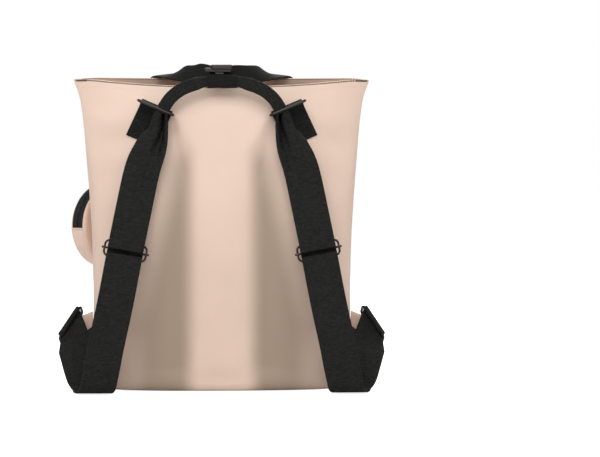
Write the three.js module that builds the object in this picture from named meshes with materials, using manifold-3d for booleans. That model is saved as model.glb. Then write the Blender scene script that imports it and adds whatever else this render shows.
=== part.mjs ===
import * as THREE from 'three';
import Module from 'manifold-3d';

const wasm = await Module();
wasm.setup();

// Millimetres. The back panel faces -Y, the front faces +Y, up is +Z, the wearer's left is +X.
// The shapes are worked out with the side seams at y = 0 and moved by ORIGIN_BEHIND_SEAM at the end.

// Bag
const BAG_HEIGHT = 390;
const MOUTH_HALF_WIDTH = 184;
const BACK_DEPTH = 70;
const FRONT_DEPTH = 79.5;
const FABRIC = 2;
const GAP = 0.3;
const BACK_EDGE_DIP = 9;
const FRONT_EDGE_RISE = 3;
const BACK_BASE_RADIUS = 12;
const FRONT_BASE_RADIUS = 18;
const ORIGIN_BEHIND_SEAM = 6;
const COLUMNS = 26;

// Front seams and the zip window
const YOKE_SEAM = 316;
const BAND_SEAM = 255.7;
const WINDOW_LOW = 260;
const WINDOW_HIGH = 274;
const WINDOW_COLUMNS = 2;
const TAPE_THICK = 0.8;
const ZIP_SLIDER_SHARE = 0.8;
const ZIP_SLIDER_LONG = 11;
const ZIP_SLIDER_TALL = 8.5;
const ZIP_SLIDER_OUT = 1.7;
const BAIL_STAND = 4.6;
const BAIL_RADIUS = 0.8;
const PULLER_LONG = 46;
const PULLER_WIDE = 9.5;
const PULLER_THICK = 2.2;
const PULLER_EYE = 2.3;

// Flap pocket
const POCKET_DEPTH = 29;
const POCKET_TOP = 198;
const POCKET_BOTTOM = 48;
const POCKET_CORNER = 14;
const POCKET_FIRST_COLUMN = 16;
const POCKET_LAST_COLUMN = 23;
const POCKET_FABRIC = 1.5;
const HALF_ARC = 193;
const FLAP_TOP = 212;
const FLAP_BOTTOM = 162;
const FLAP_WIDTH = 84;
const SNAP_RADIUS = 6;

// Round pocket
const ROUND_RADIUS = 54;
const ROUND_DEPTH = 27.6;
const ROUND_HEIGHT = 195;
const ROUND_SIDEWAYS = 51.6;
const ROUND_RIM = 5.5;
const ROUND_FACE_RIM = 4.1;
const ROUND_ZIP_END = 6;

// Straps, rings and handles
const STRAP_WIDTH = 44;
const STRAP_THICK = 2.2;
const RING_WIRE = 3.5;
const RING_INNER = 42.5;
const RING_DEPTH = 24;
const LOWER_RING_DEPTH = 17;
const RING_CORNER = 3;
const TAB_WIDTH = 41;
const TAB_LENGTH = 45;
const WEBBING_THICK = 2;
const SLIDER_LONG = 55;
const SLIDER_TALL = 22;
const SLIDER_WIRE = 3;
const ARCH_WIDE = 16;
const ARCH_THICK = 6.5;
const KEEPER_LONG = 37;
const KEEPER_WALL = 1.2;
const HANDLE_WIDTH = 25;

// Outline of the bag at each height: shares of BAG_HEIGHT, MOUTH_HALF_WIDTH, BACK_DEPTH and FRONT_DEPTH,
// then how square the outline is towards the sides and towards the back and front.
const SECTIONS = [
  { height: 0, width: 0.86, back: 0.86, front: 0.81, squareX: 3, squareY: 2.6 },
  { height: 0.09, width: 0.872, back: 0.89, front: 0.865, squareX: 3, squareY: 2.6 },
  { height: 0.19, width: 0.88, back: 0.915, front: 0.9, squareX: 2.9, squareY: 2.5 },
  { height: 0.32, width: 0.88, back: 0.96, front: 0.955, squareX: 2.85, squareY: 2.45 },
  { height: 0.46, width: 0.886, back: 1, front: 0.995, squareX: 2.8, squareY: 2.4 },
  { height: 0.6, width: 0.902, back: 0.99, front: 1, squareX: 2.7, squareY: 2.2 },
  { height: 0.73, width: 0.924, back: 0.86, front: 0.925, squareX: 2.5, squareY: 1.9 },
  { height: 0.81, width: 0.94, back: 0.76, front: 0.85, squareX: 2.35, squareY: 1.6 },
  { height: 0.88, width: 0.957, back: 0.665, front: 0.785, squareX: 2.2, squareY: 1.35 },
  { height: 0.94, width: 0.976, back: 0.565, front: 0.655, squareX: 2.1, squareY: 1.15 },
  { height: 1, width: 1, back: 0.42, front: 0.465, squareX: 2, squareY: 1 },
];

// Vectors
const add = (a, b) => a.map((v, i) => v + b[i]);
const sub = (a, b) => a.map((v, i) => v - b[i]);
const times = (a, k) => a.map((v) => v * k);
const along = (a, direction, distance) => a.map((v, i) => v + direction[i] * distance);
const dot = (a, b) => a[0] * b[0] + a[1] * b[1] + a[2] * b[2];
const cross = (a, b) => [
  a[1] * b[2] - a[2] * b[1],
  a[2] * b[0] - a[0] * b[2],
  a[0] * b[1] - a[1] * b[0],
];
const unit = (a) => times(a, 1 / Math.hypot(...a));
const mix = (a, b, t) => a + (b - a) * t;
const mixPoint = (a, b, t) => a.map((v, i) => mix(v, b[i], t));
const clamp = (v, low, high) => Math.min(high, Math.max(low, v));
const smooth = (v) => {
  const t = clamp(v, 0, 1);
  return t * t * (3 - 2 * t);
};
const degrees = (v) => (v * Math.PI) / 180;
const count = (n) => Array.from({ length: n }, (_, i) => i);

// Materials and meshes
const COLOURS = {
  beige: [0xd8c3ae, 0.55, 0],
  strap: [0x1d1c1b, 0.6, 0],
  webbing: [0x171615, 0.85, 0],
  metal: [0x4a4644, 0.3, 0.9],
  zipper: [0x0d0d0f, 0.6, 0],
};
const bag = new THREE.Group();

function addMesh(name, kind, { points, faces }) {
  const [color, roughness, metalness] = COLOURS[kind];
  const geometry = new THREE.BufferGeometry();
  const shifted = points.flatMap(([x, y, z]) => [x, y + ORIGIN_BEHIND_SEAM, z]);
  geometry.setAttribute('position', new THREE.Float32BufferAttribute(shifted, 3));
  const outward = volumeOf(points, faces) > 0 ? faces : faces.map(([a, b, c]) => [a, c, b]);
  geometry.setIndex(outward.flat());
  geometry.computeVertexNormals();
  const material = new THREE.MeshStandardMaterial({ color, roughness, metalness });
  const mesh = new THREE.Mesh(geometry, material);
  mesh.name = name;
  bag.add(mesh);
}

function volumeOf(points, faces) {
  return faces.reduce((sum, [a, b, c]) => sum + dot(points[a], cross(points[b], points[c])), 0);
}

// A closed shell between an outer and an inner grid of the same size. Cells that skip() names are left
// out and get walls around them. A closed grid joins its last row to its first.
function shell(outer, inner, { skip = () => false, closed = false } = {}) {
  const rows = outer.length;
  const columns = outer[0].length;
  const points = [...outer.flat(), ...inner.flat()];
  const half = rows * columns;
  const at = (i, j, side) => side * half + (i % rows) * columns + j;
  const faces = [];
  const quad = (a, b, c, d) => faces.push([a, b, c], [a, c, d]);
  const lastRow = closed ? rows : rows - 1;
  const solid = (i, j) => {
    const row = closed ? (i + rows) % rows : i;
    return row >= 0 && row < lastRow && j >= 0 && j < columns - 1 && !skip(row, j);
  };
  for (const i of count(lastRow)) {
    for (const j of count(columns - 1)) {
      if (!solid(i, j)) continue;
      quad(at(i, j, 0), at(i, j + 1, 0), at(i + 1, j + 1, 0), at(i + 1, j, 0));
      quad(at(i, j, 1), at(i + 1, j, 1), at(i + 1, j + 1, 1), at(i, j + 1, 1));
      if (!solid(i - 1, j)) quad(at(i, j + 1, 0), at(i, j, 0), at(i, j, 1), at(i, j + 1, 1));
      if (!solid(i + 1, j)) {
        quad(at(i + 1, j, 0), at(i + 1, j + 1, 0), at(i + 1, j + 1, 1), at(i + 1, j, 1));
      }
      if (!solid(i, j - 1)) quad(at(i, j, 0), at(i + 1, j, 0), at(i + 1, j, 1), at(i, j, 1));
      if (!solid(i, j + 1)) {
        quad(at(i + 1, j + 1, 0), at(i, j + 1, 0), at(i, j + 1, 1), at(i + 1, j + 1, 1));
      }
    }
  }
  return compact(points, faces);
}

// Drops the points that no face uses.
function compact(points, faces) {
  const used = [...new Set(faces.flat())].sort((a, b) => a - b);
  const place = new Map(used.map((old, now) => [old, now]));
  return {
    points: used.map((old) => points[old]),
    faces: faces.map((face) => face.map((old) => place.get(old))),
  };
}

// A soft sheet: a grid of mid points thickened along its own normals.
function sheet(grid, thick) {
  const rows = grid.length;
  const columns = grid[0].length;
  const thickAt = typeof thick === 'function' ? thick : () => thick;
  const offset = (side) => grid.map((row, i) => row.map((point, j) => {
    const down = sub(grid[Math.min(i + 1, rows - 1)][j], grid[Math.max(i - 1, 0)][j]);
    const over = sub(row[Math.min(j + 1, columns - 1)], row[Math.max(j - 1, 0)]);
    return along(point, unit(cross(down, over)), side * thickAt(i, j) / 2);
  }));
  return shell(offset(1), offset(-1));
}

// Joins the cross-sections of a rod, one after the other, and caps the ends unless it is a closed ring.
function loft(sections, closed = false) {
  const sides = sections[0].length;
  const points = sections.flat();
  const faces = [];
  const rings = sections.length;
  for (const i of count(closed ? rings : rings - 1)) {
    for (const k of count(sides)) {
      const a = i * sides + k;
      const b = i * sides + (k + 1) % sides;
      const c = ((i + 1) % rings) * sides + (k + 1) % sides;
      const d = ((i + 1) % rings) * sides + k;
      faces.push([a, b, c], [a, c, d]);
    }
  }
  if (!closed) {
    const last = (rings - 1) * sides;
    for (const k of count(sides - 2)) {
      faces.push([0, k + 2, k + 1], [last, last + k + 1, last + k + 2]);
    }
  }
  return { points, faces };
}

// A round wire along a flat closed path whose plane has the given normal.
function closedWire(path, normal, radius, sides = 6) {
  const total = path.length;
  return loft(path.map((point, i) => {
    const ahead = unit(sub(path[(i + 1) % total], path[(i + total - 1) % total]));
    const aside = unit(cross(normal, ahead));
    return count(sides).map((k) => {
      const turn = (2 * Math.PI * k) / sides;
      const out = along(times(aside, Math.cos(turn)), normal, Math.sin(turn));
      return along(point, out, radius);
    });
  }), true);
}

// Centre line of a rounded rectangle, half sizes a and b along the directions u and v.
function roundedRectangle(centre, u, v, a, b, corner, steps = 3) {
  const path = [];
  for (const [sideA, sideB, start] of [[1, 1, 0], [-1, 1, 90], [-1, -1, 180], [1, -1, 270]]) {
    for (const k of count(steps + 1)) {
      const turn = degrees(start + (90 * k) / steps);
      const p = sideA * (a - corner) + corner * Math.cos(turn);
      const q = sideB * (b - corner) + corner * Math.sin(turn);
      path.push(along(along(centre, u, p), v, q));
    }
  }
  return path;
}

// Smooth curve through stations of equal-length number lists.
function curveThrough(stations, steps) {
  const last = stations.length - 1;
  const pick = (i) => stations[clamp(i, 0, last)];
  const value = (a, b, c, d, t) =>
    b + 0.5 * t * (c - a + t * (2 * a - 5 * b + 4 * c - d + t * (3 * (b - c) + d - a)));
  const points = [];
  for (const i of count(last)) {
    for (const k of count(steps)) {
      const t = k / steps;
      points.push(pick(i).map((_, n) =>
        value(pick(i - 1)[n], pick(i)[n], pick(i + 1)[n], pick(i + 2)[n], t)));
    }
  }
  points.push(stations[last]);
  return points;
}

// Solids for joins
function asManifold({ points, faces }) {
  const outward = volumeOf(points, faces) > 0 ? faces : faces.map(([a, b, c]) => [a, c, b]);
  return new wasm.Manifold(new wasm.Mesh({
    numProp: 3,
    vertProperties: new Float32Array(points.flat()),
    triVerts: new Uint32Array(outward.flat()),
  }));
}

function fromManifold(solid) {
  const { vertProperties, triVerts, numProp } = solid.getMesh();
  return {
    points: count(vertProperties.length / numProp).map((i) =>
      [...vertProperties.slice(i * numProp, i * numProp + 3)]),
    faces: count(triVerts.length / 3).map((i) => [...triVerts.slice(i * 3, i * 3 + 3)]),
  };
}

function join(parts) {
  return fromManifold(parts.map(asManifold).reduce((all, part) => all.add(part)));
}

// A box spanned by ranges along three directions from a point.
function block(origin, [u, v, w], [u0, u1], [v0, v1], [w0, w1]) {
  const corner = (a, b, c) => along(along(along(origin, u, a), v, b), w, c);
  return loft([w0, w1].map((c) =>
    [corner(u0, v0, c), corner(u1, v0, c), corner(u1, v1, c), corner(u0, v1, c)]));
}

// A rod between two points, its radius given at each station along it.
function rod(from, to, stations, sides = 8) {
  const ahead = unit(sub(to, from));
  const aside = unit(cross(ahead, Math.abs(ahead[2]) > 0.9 ? [1, 0, 0] : [0, 0, 1]));
  const up = cross(aside, ahead);
  return loft(stations.map(([share, radius]) => count(sides).map((k) => {
    const turn = (2 * Math.PI * k) / sides;
    const out = along(times(aside, Math.cos(turn)), up, Math.sin(turn));
    return along(mixPoint(from, to, share), out, radius);
  })));
}

// Bag outline
function sectionAt(height) {
  const share = clamp(height / BAG_HEIGHT, 0, 1);
  const above = Math.max(1, SECTIONS.findIndex((row) => row.height >= share));
  const slope = (i, key) => {
    const low = SECTIONS[Math.max(0, i - 1)];
    const high = SECTIONS[Math.min(SECTIONS.length - 1, i + 1)];
    return (high[key] - low[key]) / (high.height - low.height);
  };
  const a = SECTIONS[above - 1];
  const b = SECTIONS[above];
  const span = b.height - a.height;
  const t = (share - a.height) / span;
  const blend = (key) => (2 * t ** 3 - 3 * t ** 2 + 1) * a[key]
    + (t ** 3 - 2 * t ** 2 + t) * span * slope(above - 1, key)
    + (3 * t ** 2 - 2 * t ** 3) * b[key]
    + (t ** 3 - t ** 2) * span * slope(above, key);
  return {
    width: blend('width') * MOUTH_HALF_WIDTH,
    back: blend('back') * BACK_DEPTH,
    front: blend('front') * FRONT_DEPTH,
    squareX: blend('squareX'),
    squareY: blend('squareY'),
  };
}

// One side of the outline at a height, as a function of the share of its length, -1 to 1 from -X to +X.
function outline(side, height, inset) {
  const s = sectionAt(height);
  const width = s.width - inset * (1 + 1.4 * clamp(2 - s.squareY, 0, 1));
  const depth = (side < 0 ? s.back : s.front) - inset;
  const steps = 160;
  const samples = count(steps + 1).map((i) => {
    const turn = (i / steps - 0.5) * Math.PI;
    const x = width * Math.sign(Math.sin(turn)) * Math.abs(Math.sin(turn)) ** (2 / s.squareX);
    const y = GAP / 2 + (depth - GAP / 2) * Math.abs(Math.cos(turn)) ** (2 / s.squareY);
    return [x, side * y];
  });
  const lengths = [0];
  for (const i of count(steps)) {
    const [a, b] = [samples[i], samples[i + 1]];
    lengths.push(lengths[i] + Math.hypot(b[0] - a[0], b[1] - a[1]));
  }
  return (share) => {
    const wanted = ((share + 1) / 2) * lengths[steps];
    const i = clamp(lengths.findIndex((length) => length >= wanted) - 1, 0, steps - 1);
    const [a, b] = [samples[i], samples[i + 1]];
    const t = (wanted - lengths[i]) / (lengths[i + 1] - lengths[i]);
    const normal = unit([(a[1] - b[1]) * side * -1, (b[0] - a[0]) * -1, 0].map((v) => v * -side));
    return { x: mix(a[0], b[0], t), y: mix(a[1], b[1], t), normal };
  };
}

// How far the cloth stands out of its plain outline: two soft channels down the back, a fuller middle
// and lighter waves on the front, all fading towards the side seams and the base.
function fold(side, x, height, share) {
  const up = height / BAG_HEIGHT;
  const fade = (1 - share ** 4) * smooth(up / 0.12);
  const across = x / MOUTH_HALF_WIDTH;
  const bell = (centre, spread) => Math.exp(-(((across - centre) / spread) ** 2));
  if (side < 0) {
    const channels = -4 * (bell(-0.27, 0.09) + bell(0.27, 0.09)) * smooth((0.82 - up) / 0.25);
    const middle = 2.5 * bell(0, 0.16) * smooth((0.95 - up) / 0.3);
    return fade * (channels + middle);
  }
  return fade * 1.5 * Math.cos(across * 7) * smooth((0.7 - up) / 0.3);
}

function topEdge(side, share) {
  return BAG_HEIGHT + (side < 0 ? -BACK_EDGE_DIP : FRONT_EDGE_RISE) * (1 - share ** 2);
}

// A point of the bag's cloth and its outward direction.
function bodyPoint(side, share, height, inset = 0) {
  const { x, y, normal } = outline(side, height, inset)(share);
  const out = fold(side, x, height, share);
  const lift = (topEdge(side, share) - BAG_HEIGHT) * smooth((height / BAG_HEIGHT - 0.85) / 0.15);
  return { point: [x + normal[0] * out, y + normal[1] * out, height + lift], normal };
}

function bodyRow(side, height, inset, lifted = height) {
  return count(COLUMNS + 1).map((column) => {
    const { point } = bodyPoint(side, (2 * column) / COLUMNS - 1, height, inset);
    return [point[0], point[1], point[2] + lifted - height];
  });
}

// The rows of the rounded base, from the base seam out to the wall, on the outside or the inside.
function baseRows(side, radius, inset) {
  const turned = (angle) => {
    const reach = radius - inset;
    const shrink = radius - reach * Math.sin(degrees(angle));
    return bodyRow(side, 0, shrink, radius - reach * Math.cos(degrees(angle)));
  };
  const edge = turned(0);
  const seam = edge.map(([x, , z]) => [x * 0.97, (side * GAP) / 2, z]);
  return [seam, edge, turned(45), turned(90)];
}

function bodyGrid(side, heights, radius, inset) {
  const walls = heights.map((height) => bodyRow(side, height, inset));
  return radius ? [...baseRows(side, radius, inset), ...walls] : walls;
}

const BACK_ROWS = [0.08, 0.19, 0.3, 0.41, 0.5, 0.58, 0.65, 0.72, 0.78, 0.83, 0.88, 0.925, 0.965, 1]
  .map((share) => share * BAG_HEIGHT);
const FRONT_ROWS = [0.08, 0.16, 0.24, 0.32, 0.41, 0.5, 0.58].map((share) => share * BAG_HEIGHT)
  .concat(BAND_SEAM);
const backOuter = bodyGrid(-1, BACK_ROWS, BACK_BASE_RADIUS, 0);
const frontOuter = bodyGrid(1, FRONT_ROWS, FRONT_BASE_RADIUS, 0);

function buildBag() {
  addMesh('back_panel', 'beige', shell(backOuter, bodyGrid(-1, BACK_ROWS, BACK_BASE_RADIUS, FABRIC)));
  addMesh('front_panel', 'beige', shell(frontOuter, bodyGrid(1, FRONT_ROWS, FRONT_BASE_RADIUS, FABRIC)));
  const band = [BAND_SEAM + GAP, WINDOW_LOW, WINDOW_HIGH, 0.5 * (WINDOW_HIGH + YOKE_SEAM), YOKE_SEAM - GAP];
  const inWindow = (i, j) => i === 1 && j >= WINDOW_COLUMNS && j < COLUMNS - WINDOW_COLUMNS;
  addMesh('front_band', 'beige',
    shell(bodyGrid(1, band, 0, 0), bodyGrid(1, band, 0, FABRIC), { skip: inWindow }));
  const yoke = [YOKE_SEAM, 0.87 * BAG_HEIGHT, 0.935 * BAG_HEIGHT, BAG_HEIGHT];
  addMesh('front_yoke', 'beige', shell(bodyGrid(1, yoke, 0, 0), bodyGrid(1, yoke, 0, FABRIC)));
}

// Front zip
function buildFrontZip() {
  const middle = (WINDOW_LOW + WINDOW_HIGH) / 2;
  const trim = (rows) => rows.map((row) => row.slice(1, COLUMNS));
  const rows = [WINDOW_LOW - 3, middle - 2, middle + 2, WINDOW_HIGH + 3];
  const tapeAt = (inset) => trim(rows.map((height) => bodyRow(1, height, FABRIC + GAP + inset)));
  addMesh('front_zip_tape', 'zipper', shell(tapeAt(0), tapeAt(TAPE_THICK)));

  const { point, normal } = bodyPoint(1, ZIP_SLIDER_SHARE, middle);
  const aside = [normal[1], -normal[0], 0];
  const axes = [aside, normal, [0, 0, 1]];
  const halfLong = ZIP_SLIDER_LONG / 2;
  const halfTall = ZIP_SLIDER_TALL / 2;
  const bail = along(point, normal, BAIL_STAND);
  const post = (from) => block(point, axes, [from, from + 1.2], [1.5, BAIL_STAND], [-0.8, 0.8]);
  addMesh('front_zip_slider', 'metal', join([
    block(point, axes, [-halfLong, halfLong], [-FABRIC, ZIP_SLIDER_OUT], [-halfTall, halfTall]),
    post(-4.2),
    post(3),
    rod(along(bail, aside, -4.2), along(bail, aside, 4.2), [[0, BAIL_RADIUS], [1, BAIL_RADIUS]]),
  ]));

  const eye = (radius) => count(12).map((k) => {
    const turn = degrees(30 * k + 15);
    return [0, radius * Math.sin(turn), radius * Math.cos(turn)];
  });
  const inBag = ([u, v, w]) => along(along(along(bail, aside, u), normal, v), [0, 0, 1], w);
  const ring = [-1.5, 1.5].map((u) => eye(PULLER_EYE).map(([, v, w]) => inBag([u, v, w])));
  const hole = [-2, 2].map((u) => eye(BAIL_RADIUS + 0.4).map(([, v, w]) => inBag([u, v, w])));
  const width = [[-1.9, 0.3], [-6, 0.34], [-9, 0.5], [-30, 0.5], [1.5 - PULLER_LONG, 0.44], [-PULLER_LONG, 0.2]];
  const tab = width.map(([w, share]) => {
    const u = share * PULLER_WIDE;
    const v = PULLER_THICK / 2;
    return [[-u, -v], [u, -v], [u, v], [-u, v]].map(([p, q]) => inBag([p, q, w]));
  });
  const whole = asManifold(loft(ring)).add(asManifold(loft(tab)));
  addMesh('front_zip_puller', 'strap', fromManifold(whole.subtract(asManifold(loft(hole)))));
}

// Flap pocket
function pocketPlace(columnShare, height, depth) {
  const share = (2 * columnShare) / COLUMNS - 1;
  const { point, normal } = bodyPoint(1, share, height);
  return along(point, normal, depth);
}

function pocketProfile(column, inset) {
  const fromEdge = Math.min(column - POCKET_FIRST_COLUMN, POCKET_LAST_COLUMN - column)
    * ((2 * HALF_ARC) / COLUMNS);
  const drop = POCKET_CORNER - Math.min(POCKET_CORNER, fromEdge);
  const round = POCKET_CORNER - Math.sqrt(POCKET_CORNER ** 2 - drop ** 2);
  const low = POCKET_BOTTOM + round + inset;
  const reach = mix(9, 48, smooth(fromEdge / 40));
  const depthAt = (height) => {
    const share = clamp((height - low) / reach, 0, 1);
    return GAP + (POCKET_DEPTH - inset - GAP) * Math.sqrt(1 - (1 - share) ** 2);
  };
  return { low, depthAt };
}

function buildFlapPocket() {
  const columns = count(15).map((k) => POCKET_FIRST_COLUMN + k / 2);
  const rows = [0, 0.03, 0.08, 0.15, 0.24, 0.35, 0.5, 0.65, 0.8, 1];
  const face = (inset) => rows.map((share) => columns.map((column) => {
    const { low, depthAt } = pocketProfile(column, inset);
    const height = mix(low, POCKET_TOP, share);
    return pocketPlace(column, height, depthAt(height));
  }));
  addMesh('flap_pocket_face', 'beige', shell(face(0), face(POCKET_FABRIC)));

  for (const [name, column, inward] of [['outer', POCKET_LAST_COLUMN, -1], ['inner', POCKET_FIRST_COLUMN, 1]]) {
    const { low, depthAt } = pocketProfile(column, POCKET_FABRIC);
    const heights = [3, 6, 12, 30, 55, 80, 105].map((up) => low + up).concat(POCKET_TOP);
    const side = (at) => heights.map((height, i) => count(4).map((k) => {
      const reach = Math.min(depthAt(height) - GAP, depthAt(height - 2) * 0.94);
      const deep = mix(GAP, reach, k / 3);
      const top = i === heights.length - 1 ? 5 * (1 - k / 3) : 0;
      return pocketPlace(at, height + top, deep);
    }));
    const thick = POCKET_FABRIC / ((2 * HALF_ARC) / COLUMNS);
    addMesh(`flap_pocket_gusset_${name}`, 'beige', shell(side(column), side(column + inward * thick)));
  }
}

// Height, depth over the bag and start of the flap's outer edge, from its seam to its free edge. Depths
// are shares of POCKET_DEPTH, heights shares of the drop from FLAP_TOP, edges millimetres of arc.
const FLAP_ROWS = [
  { drop: 0, depth: 0.017, edge: 12 },
  { drop: -0.05, depth: 0.4, edge: 8 },
  { drop: 0.03, depth: 0.85, edge: 4 },
  { drop: 0.16, depth: 1.13, edge: 3 },
  { drop: 0.4, depth: 1.17, edge: 8 },
  { drop: 0.7, depth: 1.2, edge: 13 },
  { drop: 1, depth: 1.24, edge: 18 },
];

function flapGrid() {
  const perColumn = (2 * HALF_ARC) / COLUMNS;
  return FLAP_ROWS.map(({ drop, depth, edge }) => count(11).map((k) => {
    const share = k / 10;
    const column = POCKET_LAST_COLUMN - (edge + share * (FLAP_WIDTH - edge * 0.4)) / perColumn;
    const flare = smooth((share - 0.65) / 0.35) * clamp(drop, 0, 1) ** 2;
    const height = mix(FLAP_TOP, FLAP_BOTTOM, drop) + 12 * flare;
    return pocketPlace(column, height, depth * POCKET_DEPTH + 9 * flare);
  }));
}

function buildFlap() {
  const grid = flapGrid();
  addMesh('pocket_flap', 'beige', sheet(grid, POCKET_FABRIC));
  const centre = mixPoint(grid[4][5], grid[5][5], 0.5);
  const over = sub(grid[5][6], grid[5][4]);
  const down = sub(grid[6][5], grid[4][5]);
  const out = unit(cross(over, down));
  const facing = dot(out, [1, 1, 0]) > 0 ? out : times(out, -1);
  const base = along(centre, facing, POCKET_FABRIC / 2 + 0.45);
  const tip = along(base, facing, 2);
  addMesh('flap_snap', 'metal', rod(base, tip, [[0, SNAP_RADIUS], [0.5, SNAP_RADIUS], [1, SNAP_RADIUS * 0.6]], 16));
}

// Round pocket
function buildRoundPocket() {
  const facing = unit([-1, 1, 0]);
  const aside = unit([-1, -1, 0]);
  const reach = Math.max(...frontOuter.flat().map((point) => dot(point, facing)));
  const centre = along(along([0, 0, ROUND_HEIGHT], facing, reach + GAP), aside, ROUND_SIDEWAYS);
  const place = (angle, radius, depth) => {
    const turn = degrees(angle);
    const out = along(times(aside, Math.cos(turn)), [0, 0, 1], Math.sin(turn));
    return along(along(centre, out, radius), facing, depth);
  };
  const fan = (ringPoints, pole) => ringPoints.map((_, k) => [k, (k + 1) % ringPoints.length, pole]);
  const turned = (angles, profileAt, poles) => {
    const rows = angles.map((angle) => profileAt(angle).map(([r, d]) => place(angle, r, d)));
    const size = rows[0].length;
    const points = [...rows.flat(), ...poles.map((depth) => place(0, 0, depth))];
    const faces = [];
    const total = angles.length;
    for (const i of count(total)) {
      const next = (i + 1) % total;
      for (const k of count(size - 1)) {
        const [a, b, c, d] = [i * size + k, next * size + k, next * size + k + 1, i * size + k + 1];
        faces.push([a, b, c], [a, c, d]);
      }
      faces.push([next * size, i * size, total * size]);
      faces.push([i * size + size - 1, next * size + size - 1, total * size + 1]);
    }
    return { points, faces };
  };

  const zipStart = ROUND_ZIP_END;
  const zipEnd = 180 - ROUND_ZIP_END;
  const upper = count(13).map((k) => mix(zipStart, zipEnd, k / 12));
  const lower = count(14).map((k) => mix(zipEnd + 0.4, 360 + zipStart - 0.4, k / 13));
  const faceStart = ROUND_DEPTH - ROUND_FACE_RIM;
  const wall = ROUND_RADIUS - POCKET_FABRIC;
  const bodyProfile = (angle) => {
    const edge = angle >= zipStart && angle <= zipEnd ? ROUND_RIM : faceStart - GAP;
    return [[ROUND_RADIUS - 2, 0], [ROUND_RADIUS, 2], [ROUND_RADIUS, edge], [wall, edge], [wall, POCKET_FABRIC]];
  };
  addMesh('round_pocket_body', 'beige', turned([...upper, ...lower], bodyProfile, [0, POCKET_FABRIC]));

  const faceProfile = () => [
    [wall, faceStart],
    [ROUND_RADIUS, faceStart],
    [ROUND_RADIUS, ROUND_DEPTH - 1],
    [ROUND_RADIUS - 3, ROUND_DEPTH + 0.5],
    [ROUND_RADIUS * 0.5, ROUND_DEPTH + 3],
  ];
  const full = count(28).map((k) => (360 * k) / 28);
  addMesh('round_pocket_face', 'beige', turned(full, faceProfile, [faceStart, ROUND_DEPTH + 3.6]));

  const band = (radius) => count(13).map((k) => {
    const angle = mix(zipStart + 0.5, zipEnd - 0.5, k / 12);
    return [ROUND_RIM + GAP, mix(ROUND_RIM, faceStart, 0.42), mix(ROUND_RIM, faceStart, 0.58), faceStart - GAP]
      .map((depth, n) => place(angle, radius + (n === 1 || n === 2 ? 0.7 : 0), depth));
  });
  addMesh('round_pocket_zip', 'zipper', shell(band(ROUND_RADIUS - 1), band(ROUND_RADIUS - 2)));
  const middle = mix(ROUND_RIM, faceStart, 0.5);
  const start = place(150, ROUND_RADIUS + GAP, middle);
  const axes = [facing, unit(sub(place(150, 1, 0), place(150, 0, 0))), unit(sub(place(151, 30, 0), place(149, 30, 0)))];
  addMesh('round_zip_slider', 'metal', block(start, axes, [-3.5, 3.5], [0, 2.6], [-5, 5]));
}

// Rings and their loops
const RING_LONG = RING_INNER / 2 + RING_WIRE / 2;

function ringFrame(side) {
  const tilt = degrees(23);
  const long = [side * Math.cos(tilt), 0, Math.sin(tilt)];
  const flat = [side * 0.44 * MOUTH_HALF_WIDTH, 0, 0.8975 * BAG_HEIGHT];
  const cloth = Math.min(...[-1, -0.5, 0, 0.5, 1].map((share) => {
    const [x, , z] = along(flat, long, share * RING_LONG);
    return surfaceY(backOuter, x, z);
  }));
  const bar = cloth - (RING_WIRE / 2 + 0.4 + WEBBING_THICK + 0.5);
  return {
    centre: [flat[0], bar - RING_DEPTH / 2, flat[2]],
    long,
    down: [side * Math.sin(degrees(25)), 0, -Math.cos(degrees(25))],
  };
}

function lowerRingFrame(side) {
  const long = unit([side * 0.492, -0.445, -0.749]);
  const short = unit([side * -0.092, 0.829, -0.552]);
  const strapBar = [side * 1.033 * MOUTH_HALF_WIDTH, -0.285 * BACK_DEPTH, 0.215 * BAG_HEIGHT];
  return {
    long,
    short: unit(along(short, long, -dot(short, long))),
    strapBar,
    tabBar: along(strapBar, short, LOWER_RING_DEPTH),
  };
}

function surfaceY(grid, x, z) {
  for (const i of count(grid.length - 1)) {
    for (const j of count(grid[0].length - 1)) {
      const [a, b, c, d] = [grid[i][j], grid[i][j + 1], grid[i + 1][j + 1], grid[i + 1][j]];
      for (const [p, q, r] of [[a, b, c], [a, c, d]]) {
        const area = (q[0] - p[0]) * (r[2] - p[2]) - (r[0] - p[0]) * (q[2] - p[2]);
        if (Math.abs(area) < 1e-6) continue;
        const s = ((x - p[0]) * (r[2] - p[2]) - (r[0] - p[0]) * (z - p[2])) / area;
        const t = ((q[0] - p[0]) * (z - p[2]) - (x - p[0]) * (q[2] - p[2])) / area;
        if (s >= -1e-9 && t >= -1e-9 && s + t <= 1 + 1e-9) {
          return p[1] + s * (q[1] - p[1]) + t * (r[1] - p[1]);
        }
      }
    }
  }
  return 0;
}

// The mid line of a loop round a bar: it arrives along 'ahead' on the 'over' side of the bar.
function loopRound(ahead, over, radius, sweep, steps) {
  return count(steps + 1).map((k) => {
    const turn = degrees((sweep * k) / steps);
    return along(times(over, radius * Math.cos(turn)), ahead, radius * Math.sin(turn));
  });
}

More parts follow.
